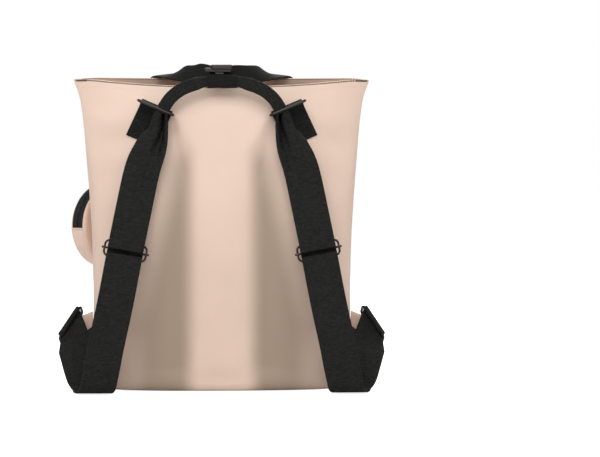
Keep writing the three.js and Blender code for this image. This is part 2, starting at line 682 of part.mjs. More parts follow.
function buildUpperRings(side, label) {
  const { centre, long, down } = ringFrame(side);
  const path = roundedRectangle(centre, long, [0, 1, 0], RING_LONG, RING_DEPTH / 2, RING_CORNER);
  addMesh(`upper_ring_${label}`, 'metal', closedWire(path, unit(cross(long, [0, 1, 0])), RING_WIRE / 2));

  const bar = along(centre, [0, 1, 0], RING_DEPTH / 2);
  const round = RING_WIRE / 2 + 0.4 + WEBBING_THICK / 2;
  const halves = count(5).map((k) => (k / 2 - 1) * (TAB_WIDTH / 2));
  const lying = [1, 0.8, 0.6, 0.4, 0.25].map((share) => halves.map((half) => {
    const flat = along(along(bar, down, share * TAB_LENGTH), long, half);
    const standoff = GAP + WEBBING_THICK / 2 + 0.25;
    return [flat[0], surfaceY(backOuter, flat[0], flat[2]) - standoff, flat[2]];
  }));
  const loop = loopRound(times(down, -1), [0, 1, 0], round, 235, 6)
    .map((offset) => halves.map((half) => along(add(bar, offset), long, half)));
  addMesh(`anchor_tab_${label}`, 'webbing', sheet([...lying, ...loop], WEBBING_THICK));
}

function buildLowerRing(side, label) {
  const { long, short, strapBar, tabBar } = lowerRingFrame(side);
  const centre = mixPoint(strapBar, tabBar, 0.5);
  const halfLong = STRAP_WIDTH / 2 + 1.2 + RING_WIRE / 2;
  const path = roundedRectangle(centre, long, short, halfLong, LOWER_RING_DEPTH / 2, RING_CORNER);
  addMesh(`lower_ring_${label}`, 'metal', closedWire(path, unit(cross(long, short)), RING_WIRE / 2));

  const [high, low] = [0.246 * BAG_HEIGHT, 0.051 * BAG_HEIGHT];
  const seamTop = [side * (sectionAt(high).width + 0.8), 0, high];
  const seamLow = [side * (sectionAt(low).width + 0.8), 0, low];
  const seamMiddle = mixPoint(seamTop, seamLow, 0.5);
  const straight = sub(tabBar, seamMiddle);
  const ahead = unit(along(straight, long, -dot(straight, long)));
  const over = times(unit(cross(long, ahead)), side);
  const round = RING_WIRE / 2 + 0.4 + FABRIC / 2;
  const across = count(6).map((k) => k / 5);
  const loop = loopRound(ahead, over, round, 235, 6).map((offset) => across.map((t) =>
    along(add(tabBar, offset), long, mix(-19, 19, t))));
  const seam = across.map((t) => mixPoint(seamTop, seamLow, t));
  const between = [0, 0.35, 0.7].map((share) => seam.map((point, k) => mixPoint(point, loop[0][k], share)));
  addMesh(`side_tab_${label}`, 'beige', sheet([...between, ...loop], FABRIC));
}

// Shoulder straps from the upper ring to the lower one: x, y and z as shares of MOUTH_HALF_WIDTH,
// BACK_DEPTH and BAG_HEIGHT, the direction across the strap, and how far it is bunched into a trough.
const STRAP_STATIONS = [
  [0.42, -0.76, 0.8885, -0.92, 0, 0.39, 1.45],
  [0.436, -0.805, 0.865, -0.93, 0, 0.37, 1.2],
  [0.459, -0.92, 0.827, -0.95, 0, 0.3, 0.75],
  [0.492, -1, 0.767, -0.965, 0, 0.26, 0.3],
  [0.533, -1.07, 0.7, -0.975, 0.03, 0.22, 0.1],
  [0.587, -1.157, 0.574, -0.98, 0.05, 0.19, 0],
  [0.641, -1.229, 0.446, -0.98, 0.05, 0.19, 0],
  [0.704, -1.286, 0.29, -0.98, 0.05, 0.19, 0],
  [0.766, -1.329, 0.154, -0.98, 0.05, 0.17, 0],
  [0.807, -1.357, 0.052, -1, 0, 0.03, 0],
  [0.826, -1.314, 0.0165, -1, 0, 0, 0],
  [0.859, -1.2, 0.0088, -1, 0, 0, 0],
  [0.891, -1.043, 0.0175, -1, 0, 0, 0],
  [0.929, -0.9, 0.06, -0.97, 0.1, 0.2, 0],
  [0.984, -0.614, 0.135, -0.85, 0.28, 0.45, 0],
];

function trough([x, y, z, ax, ay, az, bunch], ahead, shares) {
  const square = smooth((z - 8) / 40);
  const across = unit(along([ax, ay, az], ahead, -dot([ax, ay, az], ahead) * square));
  const upright = cross(ahead, across);
  const normal = upright[1] < 0 ? upright : times(upright, -1);
  return shares.map((share) => {
    const half = (share * STRAP_WIDTH) / 2;
    if (bunch < 0.05) return along([x, y, z], across, half);
    const radius = STRAP_WIDTH / 2 / bunch;
    const turn = share * bunch;
    const bent = along([x, y, z], across, radius * Math.sin(turn));
    return along(bent, normal, radius * (1 - Math.cos(turn)));
  });
}

function scaled(stations, depth, side = 1) {
  return stations.map(([x, y, z, ax, ...rest]) =>
    [side * x * MOUTH_HALF_WIDTH, y * depth, z * BAG_HEIGHT, side * ax, ...rest]);
}

// The direction a line of stations runs in at one of them.
function headingAt(stations, i) {
  const next = stations[Math.min(i + 1, stations.length - 1)];
  const before = stations[Math.max(i - 1, 0)];
  return unit(sub(next.slice(0, 3), before.slice(0, 3)));
}

function buildStrap(side, label) {
  const { long, strapBar, short } = lowerRingFrame(side);
  const line = curveThrough(scaled(STRAP_STATIONS, BACK_DEPTH, side), 2);
  const shares = count(5).map((k) => k / 2 - 1);
  const last = line.length - 1;
  const lines = line.map((station, i) => trough(station, headingAt(line, i), shares));
  const end = line[last].slice(0, 3);
  const straight = sub(strapBar, end);
  const ahead = unit(along(straight, long, -dot(straight, long)));
  const over = unit(cross(long, ahead));
  const outside = dot(over, short) < 0 ? over : times(over, -1);
  const round = RING_WIRE / 2 + 0.4 + STRAP_THICK / 2;
  const loop = loopRound(ahead, outside, round, 235, 6).map((offset) => shares.map((share) =>
    along(add(strapBar, offset), long, (-share * STRAP_WIDTH) / 2)));
  const sliderAt = line.findIndex(([, , z]) => z < 0.452 * BAG_HEIGHT);
  const doubled = sliderAt + 1;
  const thick = (i) => (i >= doubled && i <= last ? 2 * STRAP_THICK : STRAP_THICK);
  addMesh(`shoulder_strap_${label}`, 'strap', sheet([...lines, ...loop], thick));

  const down = headingAt(line, sliderAt);
  const rough = line[sliderAt].slice(3, 6);
  const across = unit(along(rough, down, -dot(rough, down)));
  const normal = cross(down, across);
  const towardsBag = normal[1] > 0 ? normal : times(normal, -1);
  const centre = along(line[sliderAt].slice(0, 3), towardsBag, 0.75 * STRAP_THICK + SLIDER_WIRE / 2 + GAP);
  const frame = roundedRectangle(centre, across, down, SLIDER_LONG / 2, SLIDER_TALL / 2, SLIDER_TALL / 2 - 1);
  const reach = SLIDER_LONG / 2 - 0.5;
  addMesh(`strap_slider_${label}`, 'metal', join([
    closedWire(frame, towardsBag, SLIDER_WIRE / 2),
    rod(along(centre, across, -reach), along(centre, across, reach), [[0, 1.4], [1, 1.4]]),
  ]));
}

// Carry handle between the upper rings: x, y and z as shares of MOUTH_HALF_WIDTH, BACK_DEPTH and
// BAG_HEIGHT and the direction across it, from the wearer's right to the middle
const ARCH_STATIONS = [
  [-0.37, -0.81, 0.926, 0.5, 0, 0.87],
  [-0.315, -0.79, 0.946, 0.35, 0, 0.95],
  [-0.21, -0.745, 0.967, 0.15, 0, 0.99],
  [-0.115, -0.705, 0.981, 0.02, 0, 1],
  [0, -0.693, 0.982, 0, 0, 1],
];

function rounded(half, thick) {
  const cut = Math.min(half, thick) * 0.55;
  return [
    [-half + cut, -thick], [half - cut, -thick], [half, -thick + cut], [half, thick - cut],
    [half - cut, thick], [-half + cut, thick], [-half, thick - cut], [-half, -thick + cut],
  ];
}

function ribbon(stations, shapeAt) {
  return loft(stations.map((station, i) => {
    const ahead = headingAt(stations, i);
    const rough = station.slice(3, 6);
    const across = unit(along(rough, ahead, -dot(rough, ahead)));
    const normal = cross(ahead, across);
    return shapeAt(station).map(([p, q]) => along(along(station.slice(0, 3), across, p), normal, q));
  }));
}

function mirroredStations(stations) {
  const other = stations.slice(0, -1).reverse()
    .map(([x, y, z, ax, ay, az]) => [-x, y, z, -ax, ay, az]);
  return [...stations, ...other];
}

// How far a strap is gathered at a distance from the middle: 1 inside 'full', 0 from 'free' on.
const gathered = (x, full, free) => smooth((free - Math.abs(x)) / (free - full));

function buildCarryHandle() {
  const { centre, long, down } = ringFrame(-1);
  const seat = along(centre, long, -5);
  const start = [along(seat, down, -1.2), along(seat, down, -7)].map((point) => [...point, 0.9, 0, 0.4]);
  const half = [...start, ...scaled(ARCH_STATIONS, BACK_DEPTH)];
  const stations = curveThrough(mirroredStations(half), 2);
  const squeeze = ([x]) => 1 - 0.2 * gathered(x, KEEPER_LONG / 2 + 1, KEEPER_LONG / 2 + 14);
  const shape = (station) => rounded((ARCH_WIDE / 2) * squeeze(station), ARCH_THICK / 2);
  addMesh('carry_handle', 'strap', ribbon(stations, shape));

  const [, y, z] = half[half.length - 1];
  const halfTall = (ARCH_WIDE / 2) * 0.8 + 0.7 + KEEPER_WALL;
  const halfDeep = ARCH_THICK / 2 + 0.7 + KEEPER_WALL;
  const loopAt = (x, shrink) => rounded(halfTall - shrink, halfDeep - shrink)
    .map(([p, q]) => [x, y + q, z + p]);
  const ends = [-KEEPER_LONG / 2, KEEPER_LONG / 2];
  const layer = (shrink) => count(8).map((k) => ends.map((x) => loopAt(x, shrink)[k]));
  addMesh('handle_keeper', 'webbing', shell(layer(0), layer(KEEPER_WALL), { closed: true }));
  return { y, top: z + halfTall };
}

// Hook on the keeper: a glossy plate with a bar behind it that the front handle's ring is caught on
function buildHook(keeper) {
  const y = keeper.y + 2.5;
  const z = keeper.top + 7.2;
  const plate = [[-18, 1.2, 1], [-13, 4.2, 1.8], [-6, 5.2, 2.2], [6, 5.2, 2.2], [13, 4.2, 1.8], [18, 1.2, 1]]
    .map(([x, tall, deep]) => rounded(tall, deep).map(([p, q]) => [x - 3, y + q, z + p]));
  const axes = [[1, 0, 0], [0, 1, 0], [0, 0, 1]];
  const arm = (x) => block([x - 3, y, z - 1], axes, [-1.5, 1.5], [1, 10], [-1.5, 1.5]);
  addMesh('hook_buckle', 'metal', join([
    loft(plate),
    arm(-9),
    arm(9),
    rod([-12, y + 8.5, z - 1], [6, y + 8.5, z - 1], [[0, 1.4], [1, 1.4]]),
    block([-3, y, z], axes, [-5, 5], [-2, 1.5], [keeper.top + 0.4 - z, -4]),
  ]));
  const ring = roundedRectangle([-3, y + 11.4, z - 1], [0, 1, 0], [0, 0, 1], 6.7, 8.6, 3.5);
  addMesh('hook_ring', 'metal', closedWire(ring, [1, 0, 0], 1));
  return { y: y + 14.2, z: z - 1 };
}

// Front handle, from its seam at the wearer's right to the middle: x, y and z as shares of
// MOUTH_HALF_WIDTH, FRONT_DEPTH and BAG_HEIGHT and the direction across it
const HANDLE_STATIONS = [
  [-0.505, 0.79, 0.86, 1, 0.2, 0],
  [-0.505, 0.8, 0.928, 1, 0.1, 0.05],
  [-0.495, 0.73, 0.99, 1, 0.1, 0.1],
  [-0.455, 0.5, 1.022, 0.95, 0.3, 0.15],
  [-0.37, 0.2, 1.024, 0.6, 0.6, 0.5],
  [-0.27, -0.05, 1.022, 0.2, 0.4, 0.9],
  [-0.185, -0.21, 1.02, 0.05, 0.25, 0.97],
];

function buildFrontHandle(ring) {
  const yoke = bodyGrid(1, [YOKE_SEAM, 0.87 * BAG_HEIGHT, 0.935 * BAG_HEIGHT], 0, 0);
  const x = HANDLE_STATIONS[0][0] * MOUTH_HALF_WIDTH;
  const seams = [YOKE_SEAM + 1, YOKE_SEAM + 9].map((z) => {
    const [inner, outer] = [10, -10].map((aside) => surfaceY(yoke, x + aside, z));
    const y = surfaceY(yoke, x, z) + WEBBING_THICK / 2 + 0.85;
    return [x, y, z, 20, inner - outer, 0];
  });
  const middle = [[-14, ring.y - 0.5, ring.z, 0, 0.1, 1], [-3, ring.y, ring.z, 0, 0, 1]];
  const half = [...seams, ...scaled(HANDLE_STATIONS, FRONT_DEPTH), ...middle];
  const stations = curveThrough(mirroredStations(half), 2);
  const shape = ([at]) => {
    const wide = (HANDLE_WIDTH / 2) * (1 - 0.48 * gathered(at + 3, 3, 26));
    const thick = WEBBING_THICK / 2;
    return [[-wide, -thick], [wide, -thick], [wide, thick], [-wide, thick]];
  };
  addMesh('front_handle', 'webbing', ribbon(stations, shape));
}

buildBag();
buildFrontZip();
buildFlapPocket();
buildFlap();
buildRoundPocket();
buildFrontHandle(buildHook(buildCarryHandle()));
for (const [side, label] of [[1, 'left'], [-1, 'right']]) {
  buildUpperRings(side, label);
  buildLowerRing(side, label);
  buildStrap(side, label);
}

export default bag;
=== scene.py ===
import math

import bpy
import numpy as np
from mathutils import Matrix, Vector


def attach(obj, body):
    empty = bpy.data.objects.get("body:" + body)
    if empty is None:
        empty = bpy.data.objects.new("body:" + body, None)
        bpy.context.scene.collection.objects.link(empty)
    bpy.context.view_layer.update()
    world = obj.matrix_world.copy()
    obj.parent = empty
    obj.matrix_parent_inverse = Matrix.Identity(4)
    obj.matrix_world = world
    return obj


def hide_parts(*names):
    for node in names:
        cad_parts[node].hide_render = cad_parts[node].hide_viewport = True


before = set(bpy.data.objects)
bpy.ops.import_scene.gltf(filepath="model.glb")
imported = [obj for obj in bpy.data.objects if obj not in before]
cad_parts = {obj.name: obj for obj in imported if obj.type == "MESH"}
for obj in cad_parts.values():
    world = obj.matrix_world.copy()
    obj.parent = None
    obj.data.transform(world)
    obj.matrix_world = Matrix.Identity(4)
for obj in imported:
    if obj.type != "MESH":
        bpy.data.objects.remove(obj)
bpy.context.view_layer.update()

MM = 0.001
BAG = "bag"
PULLER = "puller"
UP = np.array([0, 0, 1.0])

# Sizes in millimetres, as in the part's own source. Shapes are worked out with the side seams at
# y = 0 and moved by ORIGIN_BEHIND_SEAM when their mesh is made.
BAG_HEIGHT = 390
MOUTH_HALF_WIDTH = 184
BACK_DEPTH = 70
FRONT_DEPTH = 79.5
FABRIC = 2
GAP = 0.3
BACK_EDGE_DIP = 12.5
FRONT_EDGE_RISE = 0.5
CORNER_DROOP = 2.4
BACK_BASE_RADIUS = 12
FRONT_BASE_RADIUS = 18
ORIGIN_BEHIND_SEAM = 6
COLUMNS = 26

YOKE_SEAM = 316
BAND_SEAM = 255.7
WINDOW_LOW = 260
WINDOW_HIGH = 274
WINDOW_COLUMNS = 2
WINDOW_EDGE = 2 * WINDOW_COLUMNS / COLUMNS - 1
WINDOW_MIDDLE = (WINDOW_LOW + WINDOW_HIGH) / 2
COIL_PITCH = 1.7
COIL_WIDE = 2.6
ZIP_SLIDER_SHARE = 0.8
ZIP_SLIDER_LONG = 11
ZIP_SLIDER_TALL = 8.5
ZIP_SLIDER_OUT = 1.7
BAIL_STAND = 4.6
BAIL_RADIUS = 0.8
PULLER_LONG = 46
PULLER_WIDE = 9.5
PULLER_THICK = 2.2
PULLER_EYE = 2.3

POCKET_DEPTH = 29
POCKET_TOP = 198
POCKET_BOTTOM = 48
POCKET_CORNER = 14
POCKET_FIRST_COLUMN = 16
POCKET_LAST_COLUMN = 22.75
POCKET_FABRIC = 1.5
HALF_ARC = 193
ARC_A_COLUMN = 2 * HALF_ARC / COLUMNS
FLAP_TOP = 212
FLAP_BOTTOM = 162
FLAP_WIDTH = 84
SNAP_RADIUS = 6

ROUND_RADIUS = 54
ROUND_DEPTH = 29
ROUND_HEIGHT = 202
ROUND_SIDEWAYS = 55
ROUND_RIM = 5.5
ROUND_FACE_RIM = 4.1
ROUND_ZIP_END = -3

STRAP_WIDTH = 44
STRAP_THICK = 2.2
RING_WIRE = 3.5
RING_INNER = 42.5
RING_DEPTH = 24
LOWER_RING_DEPTH = 17
RING_CORNER = 3
RING_TILT_DEGREES = 23
RING_ACROSS_SHARE = 0.44
RING_UP_SHARE = 0.8975
RING_LONG = RING_INNER / 2 + RING_WIRE / 2
TAB_WIDTH = 41
TAB_LENGTH = 45
TAB_LEAN_DEGREES = 25
SIDE_TAB_HALF_WIDTH = 19
SIDE_TAB_TOP_SHARE = 0.246
SIDE_TAB_LOW_SHARE = 0.051
WEBBING_THICK = 2
SLIDER_LONG = 55
SLIDER_TALL = 22
SLIDER_WIRE = 3
ARCH_WIDE = 16
ARCH_THICK = 6.5
KEEPER_LONG = 37
KEEPER_WALL = 1.2
KEEPER_CLEARANCE = 0.7
KEEPER_SQUEEZE = 0.2
HOOK_MIDDLE = -3
HANDLE_WIDTH = 25
SLOT_HEIGHT = 0.452
SLOT_WIDE = 4.6
SLOT_DEEP = 5.5
TWIN_ASIDE = 9

# Long hollows down the back between its middle and the straps: the cloth sinks there, and shade is painted
# into its colour there too
HOLLOW_TOP = 322
HOLLOW_START = 50
HOLLOW_INNER = 26
HOLLOW_SLOPE = 28
HOLLOW_OUTER = 74
HOLLOW_FADE = 50
HOLLOW_SPREAD = 0.25
HOLLOW_WIDEST = 134
HOLLOW_DEEP = 3.2
PLATEAU_PROUD = 1.2
CHANNEL_DEEP = 4
MIDDLE_PROUD = 2.5
FRONT_WAVE = 1.5
SWELLS = 7
SWELL_PROUD = 0.45
SWELL_PITCHES = (0.6, 2.2)
PANEL_SHARES = np.linspace(-1, 1, 211)
BASE_STEPS = 9
BASE_BLEND = 0.08 * BAG_HEIGHT
SEAM_DIP = 1.1
SEAM_REACH = 2.2
PUCKER_DIP = 0.9
HEM_DEEP = 9
HEM_PROUD = 0.5
HEM_DROP = 1.3
HEM_THREAD = 0.85
CORNER_THREAD = 1.25
HEM_END_SHARE = 0.985
CORNER_START_SHARE = 0.9

# How meshes, threads and loops are made
SHARP_DEGREES = 40
THREAD_SIDES = 6
THREAD_SUNK = 0.35
END_STEPS = 4
EDGE_LEAST = 0.02
RING_CLEARANCE = 0.4
LOOP_SWEEP = 235
LOOP_STEPS = 18

# Outline of the bag: share of its height, then shares of its half width and depths, and squareness.
SECTIONS = np.array([
    (0, 0.86, 0.86, 0.81, 3, 2.6),
    (0.09, 0.872, 0.89, 0.865, 3, 2.6),
    (0.19, 0.88, 0.915, 0.9, 2.9, 2.5),
    (0.32, 0.88, 0.96, 0.955, 2.85, 2.45),
    (0.46, 0.886, 1, 0.995, 2.8, 2.4),
    (0.6, 0.902, 0.99, 1, 2.7, 2.2),
    (0.73, 0.924, 0.86, 0.925, 2.5, 1.9),
    (0.81, 0.94, 0.76, 0.85, 2.35, 1.6),
    (0.88, 0.957, 0.665, 0.785, 2.2, 1.35),
    (0.94, 0.976, 0.565, 0.655, 2.1, 1.15),
    (1, 1.014, 0.42, 0.465, 2, 1),
])


# Numbers and vectors
def unit(v):
    v = np.asarray(v, float)
    return v / np.maximum(np.linalg.norm(v, axis=-1, keepdims=True), 1e-12)


def smooth(v):
    t = np.clip(v, 0, 1)
    return t * t * (3 - 2 * t)


def bell(v, centre, spread):
    return np.exp(-(((v - centre) / spread) ** 2))


def mix(a, b, t):
    return a + (b - a) * t


def waves(x, y, seed):
    """Slow random swells over a surface, mostly between -1 and 1, the same on every run."""
    rng = np.random.default_rng(seed)
    total = 0
    for _ in range(SWELLS):
        angle = rng.uniform(0, math.pi)
        pitch = rng.uniform(*SWELL_PITCHES)
        phase = rng.uniform(0, 2 * math.pi)
        total = total + np.sin(pitch * (x * math.cos(angle) + y * math.sin(angle)) + phase)
    return total / math.sqrt(SWELLS)


# Bag outline
def section(height):
    share = np.clip(np.asarray(height, float) / BAG_HEIGHT, 0, 1)
    heights = SECTIONS[:, 0]
    values = SECTIONS[:, 1:]
    low = np.clip(np.arange(len(heights)) - 1, 0, None)
    high = np.clip(np.arange(len(heights)) + 1, None, len(heights) - 1)
    slopes = (values[high] - values[low]) / (heights[high] - heights[low])[:, None]
    above = np.clip(np.searchsorted(heights, share), 1, len(heights) - 1)
    span = (heights[above] - heights[above - 1])[..., None]
    t = ((share - heights[above - 1]) / span[..., 0])[..., None]
    row = ((2 * t**3 - 3 * t**2 + 1) * values[above - 1] + (t**3 - 2 * t**2 + t) * span * slopes[above - 1]
           + (3 * t**2 - 2 * t**3) * values[above] + (t**3 - t**2) * span * slopes[above])
    return row * np.array([MOUTH_HALF_WIDTH, BACK_DEPTH, FRONT_DEPTH, 1, 1])


def outline(side, height, shares, inset=0.0):
    """Points and outward normals of one side's outline at a height, at shares -1 to 1 of its length."""
    wide, back, front, square_x, square_y = section(height)
    width = wide - inset * (1 + 1.4 * np.clip(2 - square_y, 0, 1))
    depth = (back if side < 0 else front) - inset
    turn = np.linspace(-0.5, 0.5, 641) * math.pi
    x = width * np.sign(np.sin(turn)) * np.abs(np.sin(turn)) ** (2 / square_x)
    y = GAP / 2 + (depth - GAP / 2) * np.abs(np.cos(turn)) ** (2 / square_y)
    length = np.concatenate([[0], np.cumsum(np.hypot(np.diff(x), np.diff(y)))])
    wanted = (np.asarray(shares, float) + 1) / 2 * length[-1]
    dx = np.gradient(x, length)
    dy = np.gradient(y, length)
    at_x = np.interp(wanted, length, x)
    at_y = np.interp(wanted, length, y)
    normal = unit(np.stack([-np.interp(wanted, length, dy), np.interp(wanted, length, dx)], -1))
    return at_x, side * at_y, normal[..., 0], side * normal[..., 1], length[-1]


def fold(side, x, height, share):
    up = height / BAG_HEIGHT
    fade = (1 - share**4) * smooth(up / 0.12)
    across = x / MOUTH_HALF_WIDTH
    if side < 0:
        pair = bell(across, -0.27, 0.09) + bell(across, 0.27, 0.09)
        channels = -CHANNEL_DEEP * pair * smooth((0.82 - up) / 0.25)
        middle = MIDDLE_PROUD * bell(across, 0, 0.16) * smooth((0.95 - up) / 0.3)
        return fade * (channels + middle)
    return fade * FRONT_WAVE * np.cos(across * 7) * smooth((0.7 - up) / 0.3)


def top_edge(side, share):
    droop = CORNER_DROOP * np.exp(-(((1 - np.abs(share)) / 0.08) ** 2))
    middle = -BACK_EDGE_DIP if side < 0 else FRONT_EDGE_RISE
    return BAG_HEIGHT + middle * (1 - share**2) - droop


# Finer folds of the cloth: from (x, z) to (x, z), half width, and how far it stands out
BACK_FOLDS = [
    ((-78, 335), (-150, 300), 16, -3.2),
    ((-66, 338), (-50, 268), 9, -2.4),
    ((-62, 345), (-28, 296), 9, 1.6),
    ((-96, 318), (-140, 250), 17, -3.4),
    ((-120, 330), (-165, 340), 16, 2.2),
    ((78, 335), (150, 300), 16, -3.2),
    ((66, 338), (50, 268), 9, -2.4),
    ((62, 345), (28, 296), 9, 1.6),
    ((96, 318), (140, 250), 17, -3.4),
    ((120, 330), (165, 340), 16, 2.2),
    ((-150, 90), (-100, 60), 16, -1.2),
    ((150, 90), (100, 60), 16, -1.2),
    ((-30, 60), (-44, 14), 10, 1.0),
    ((28, 66), (40, 16), 10, 1.0),
]
FRONT_FOLDS = [
    ((-60, 250), (-20, 210), 12, -1.2),
    ((30, 250), (40, 190), 12, 1.2),
    ((50, 60), (0, 40), 14, -1.4),
    ((-80, 130), (-30, 90), 16, 1.2),
    ((-120, 110), (-60, 60), 16, -1.4),
    ((90, 40), (150, 28), 10, 1.0),
]


def ridge(x, z, start, end, half, height):
    along = np.array(end, float) - np.array(start, float)
    length = np.hypot(*along)
    along = along / length
    run = ((x - start[0]) * along[0] + (z - start[1]) * along[1]) / length
    off = (x - start[0]) * -along[1] + (z - start[1]) * along[0]
    taper = smooth((run + 0.15) / 0.45) * smooth((1.25 - run) / 0.5)
    return height * taper * np.exp(-((off / half) ** 2))


def hollow_and_painted_shade(x, z):
    """How far a point of the back lies in the long hollows between its middle and the straps, 0 to 1: how far
    the cloth sinks there and how much shade is painted into its colour.
    """
    away = np.abs(x)
    inner = smooth((away - HOLLOW_INNER) / HOLLOW_SLOPE)
    outer = np.minimum(HOLLOW_OUTER + HOLLOW_SPREAD * (HOLLOW_TOP - z), HOLLOW_WIDEST)
    return inner * smooth((outer - away) / HOLLOW_FADE) * smooth((HOLLOW_TOP - z) / HOLLOW_START)


def relief(side, x, z, share):
    """Folds, swells and puckers on top of the source's own folds, in millimetres."""
    near_edge = smooth((1 - np.abs(share)) / 0.1)
    up = z / BAG_HEIGHT
    total = 0.0
    for start, end, half, height in BACK_FOLDS if side < 0 else FRONT_FOLDS:
        total = total + ridge(x, z, start, end, half, height)
    total = total + SWELL_PROUD * waves(x / 30, z / 55, 3 + side) * smooth(up / 0.1)
    if side < 0:
        plateau = smooth((34 - np.abs(x)) / 16) * smooth((0.8 - up) / 0.3) * smooth(up / 0.08)
        total = total + PLATEAU_PROUD * plateau - HOLLOW_DEEP * hollow_and_painted_shade(x, z) * smooth(up / 0.08)
    return total * near_edge * smooth((1.02 - up) / 0.08)


def seam_dip(share, arc):
    """Cloth draws in where it is sewn to the next panel."""
    from_seam = (1 - np.abs(share)) * arc / 2
    return -SEAM_DIP * np.exp(-((from_seam / SEAM_REACH) ** 2))


def cloth_row(side, height, shares, inset=0.0, extra=0.0, finer=True):
    x, y, nx, ny, arc = outline(side, height, shares, inset)
    out = fold(side, x, height, shares) + extra
    if finer:
        out = out + relief(side, x, height, shares) + seam_dip(shares, arc)
    lift = (top_edge(side, shares) - BAG_HEIGHT) * smooth((height / BAG_HEIGHT - 0.85) / 0.15)
    return np.stack([x + nx * out, y + ny * out, height + lift], -1)


def cloth_point(side, share, height, finer=True):
    shares = np.atleast_1d(np.asarray(share, float))
    _, _, nx, ny, _ = outline(side, height, shares)
    points = cloth_row(side, height, shares, finer=finer)
    normals = np.stack([nx, ny, 0 * nx], -1)
    return points, normals


_y_cache = {}


def cloth_y(side, x, z):
    """The cloth's y at a point of its front or back, seen square on."""
    key = (side, round(float(z), 2))
    if key not in _y_cache:
        _y_cache[key] = cloth_row(side, float(z), np.linspace(-1, 1, 401))
    row = _y_cache[key]
    return float(np.interp(x, row[:, 0], row[:, 1]))


# Meshes
def make_piece(name, points, faces, material, slot, replaces=(), body=BAG, cloth=None):
    """A smooth-shaded mesh in the part's frame. cloth holds three numbers a point for the materials."""
    mesh = bpy.data.meshes.new(name)
    points = np.asarray(points, float).reshape(-1, 3) + np.array([0, ORIGIN_BEHIND_SEAM, 0])
    mesh.from_pydata((points * MM).tolist(), [], [tuple(map(int, face)) for face in faces])
    mesh.validate()
    if cloth is not None:
        attribute = mesh.attributes.new("cloth", "FLOAT_VECTOR", "POINT")
        attribute.data.foreach_set("vector", np.asarray(cloth, np.float32).reshape(-1))
    mesh.materials.append(material)
    mesh.polygons.foreach_set("use_smooth", [True] * len(mesh.polygons))
    mesh.set_sharp_from_angle(angle=math.radians(SHARP_DEGREES))
    piece = bpy.data.objects.new(name, mesh)
    bpy.context.scene.collection.objects.link(piece)
    if replaces:
        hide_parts(*replaces)
    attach(piece, body)
    return piece


def sheet_piece(name, sheet, material, slot, replaces=(), body=BAG):
    points, faces, cloth = sheet
    return make_piece(name, points, faces, material, slot, replaces, body, cloth)


def grid_faces(rows, columns, wrap_rows=False, wrap_columns=False):
    i = np.arange(rows if wrap_rows else rows - 1)[:, None]
    j = np.arange(columns if wrap_columns else columns - 1)[None, :]
    i2 = (i + 1) % rows
    j2 = (j + 1) % columns
    quads = np.stack([i * columns + j, i * columns + j2, i2 * columns + j2, i2 * columns + j], -1)
    return quads.reshape(-1, 4)


def caps(rows, columns):
    """Faces that close the two sides of a shell whose first half of rows is outside, second inside."""
    faces = []
    last = 2 * rows - 1
    for i in range(rows - 1):
        for j in (0, columns - 1):
            a, b, c, d = (row * columns + j for row in (i, i + 1, last - 1 - i, last - i))
            faces.append((a, b, c, d) if j == 0 else (a, d, c, b))
    return faces


def shell_mesh(outer, inner):
    """A closed wall between two grids of the same size: up the outside, over the rim, down the inside."""
    rows, columns = outer.shape[:2]
    points = np.concatenate([outer, inner[::-1]])
    faces = [*grid_faces(2 * rows, columns, wrap_rows=True), *caps(rows, columns)]
    return points.reshape(-1, 3), faces


def masked_shell(outer, inner, hole):
    """A wall between two grids with the cells of hole left out and walled round."""
    rows, columns = outer.shape[:2]
    points = np.concatenate([outer.reshape(-1, 3), inner.reshape(-1, 3)])
    half = rows * columns
    solid = np.zeros((rows + 1, columns + 1), bool)
    solid[1:rows, 1:columns] = ~hole
    faces = []
    for i in range(rows - 1):
        for j in range(columns - 1):
            if hole[i, j]:
                continue
            a, b = i * columns + j, i * columns + j + 1
            c, d = b + columns, a + columns
            faces += [(a, b, c, d), (a + half, d + half, c + half, b + half)]
            if not solid[i, j + 1]:
                faces.append((b, a, a + half, b + half))
            if not solid[i + 2, j + 1]:
                faces.append((d, c, c + half, d + half))
            if not solid[i + 1, j]:
                faces.append((a, d, d + half, a + half))
            if not solid[i + 1, j + 2]:
                faces.append((c, b, b + half, c + half))
    used = np.unique(np.array(faces))
    place = np.full(len(points), -1)
    place[used] = np.arange(len(used))
    return points[used], place[np.array(faces)]


def transport(path, closed, start):
    """Two directions square to a path at each of its points, without twist."""
    path = np.asarray(path, float)
    if closed:
        ahead = unit(np.roll(path, -1, 0) - np.roll(path, 1, 0))
    else:
        ahead = unit(np.gradient(path, axis=0))
    first = np.array(start if start is not None else (0, 0, 1.0), float)
    if abs(first @ ahead[0]) > 0.95:
        first = np.array([1.0, 0, 0])
    sides = []
    side = first
    for direction in ahead:
        side = unit(side - direction * (side @ direction))
        sides.append(side)
    sides = np.array(sides)
    return sides, np.cross(ahead, sides)


def rod_mesh(rings, closed=False):
    """Points and faces of a rod made of rings, with its two ends filled unless it closes on itself."""
    count, sides = rings.shape[:2]
    faces = [tuple(face) for face in grid_faces(count, sides, wrap_rows=closed, wrap_columns=True)]
    if not closed:
        faces.append(tuple(range(sides))[::-1])
        faces.append(tuple((count - 1) * sides + k for k in range(sides)))
    return rings.reshape(-1, 3), faces


def tube(path, radius, sides, closed=False, start=None):
    """A round rod along a path. radius is one number, or one a point."""
    path = np.asarray(path, float)
    u, v = transport(path, closed, start)
    turn = np.linspace(0, 2 * math.pi, sides, endpoint=False)
    radius = np.broadcast_to(np.asarray(radius, float), len(path))
    rings = path[:, None] + radius[:, None, None] * (
        u[:, None] * np.cos(turn)[None, :, None] + v[:, None] * np.sin(turn)[None, :, None])
    return rod_mesh(rings, closed)


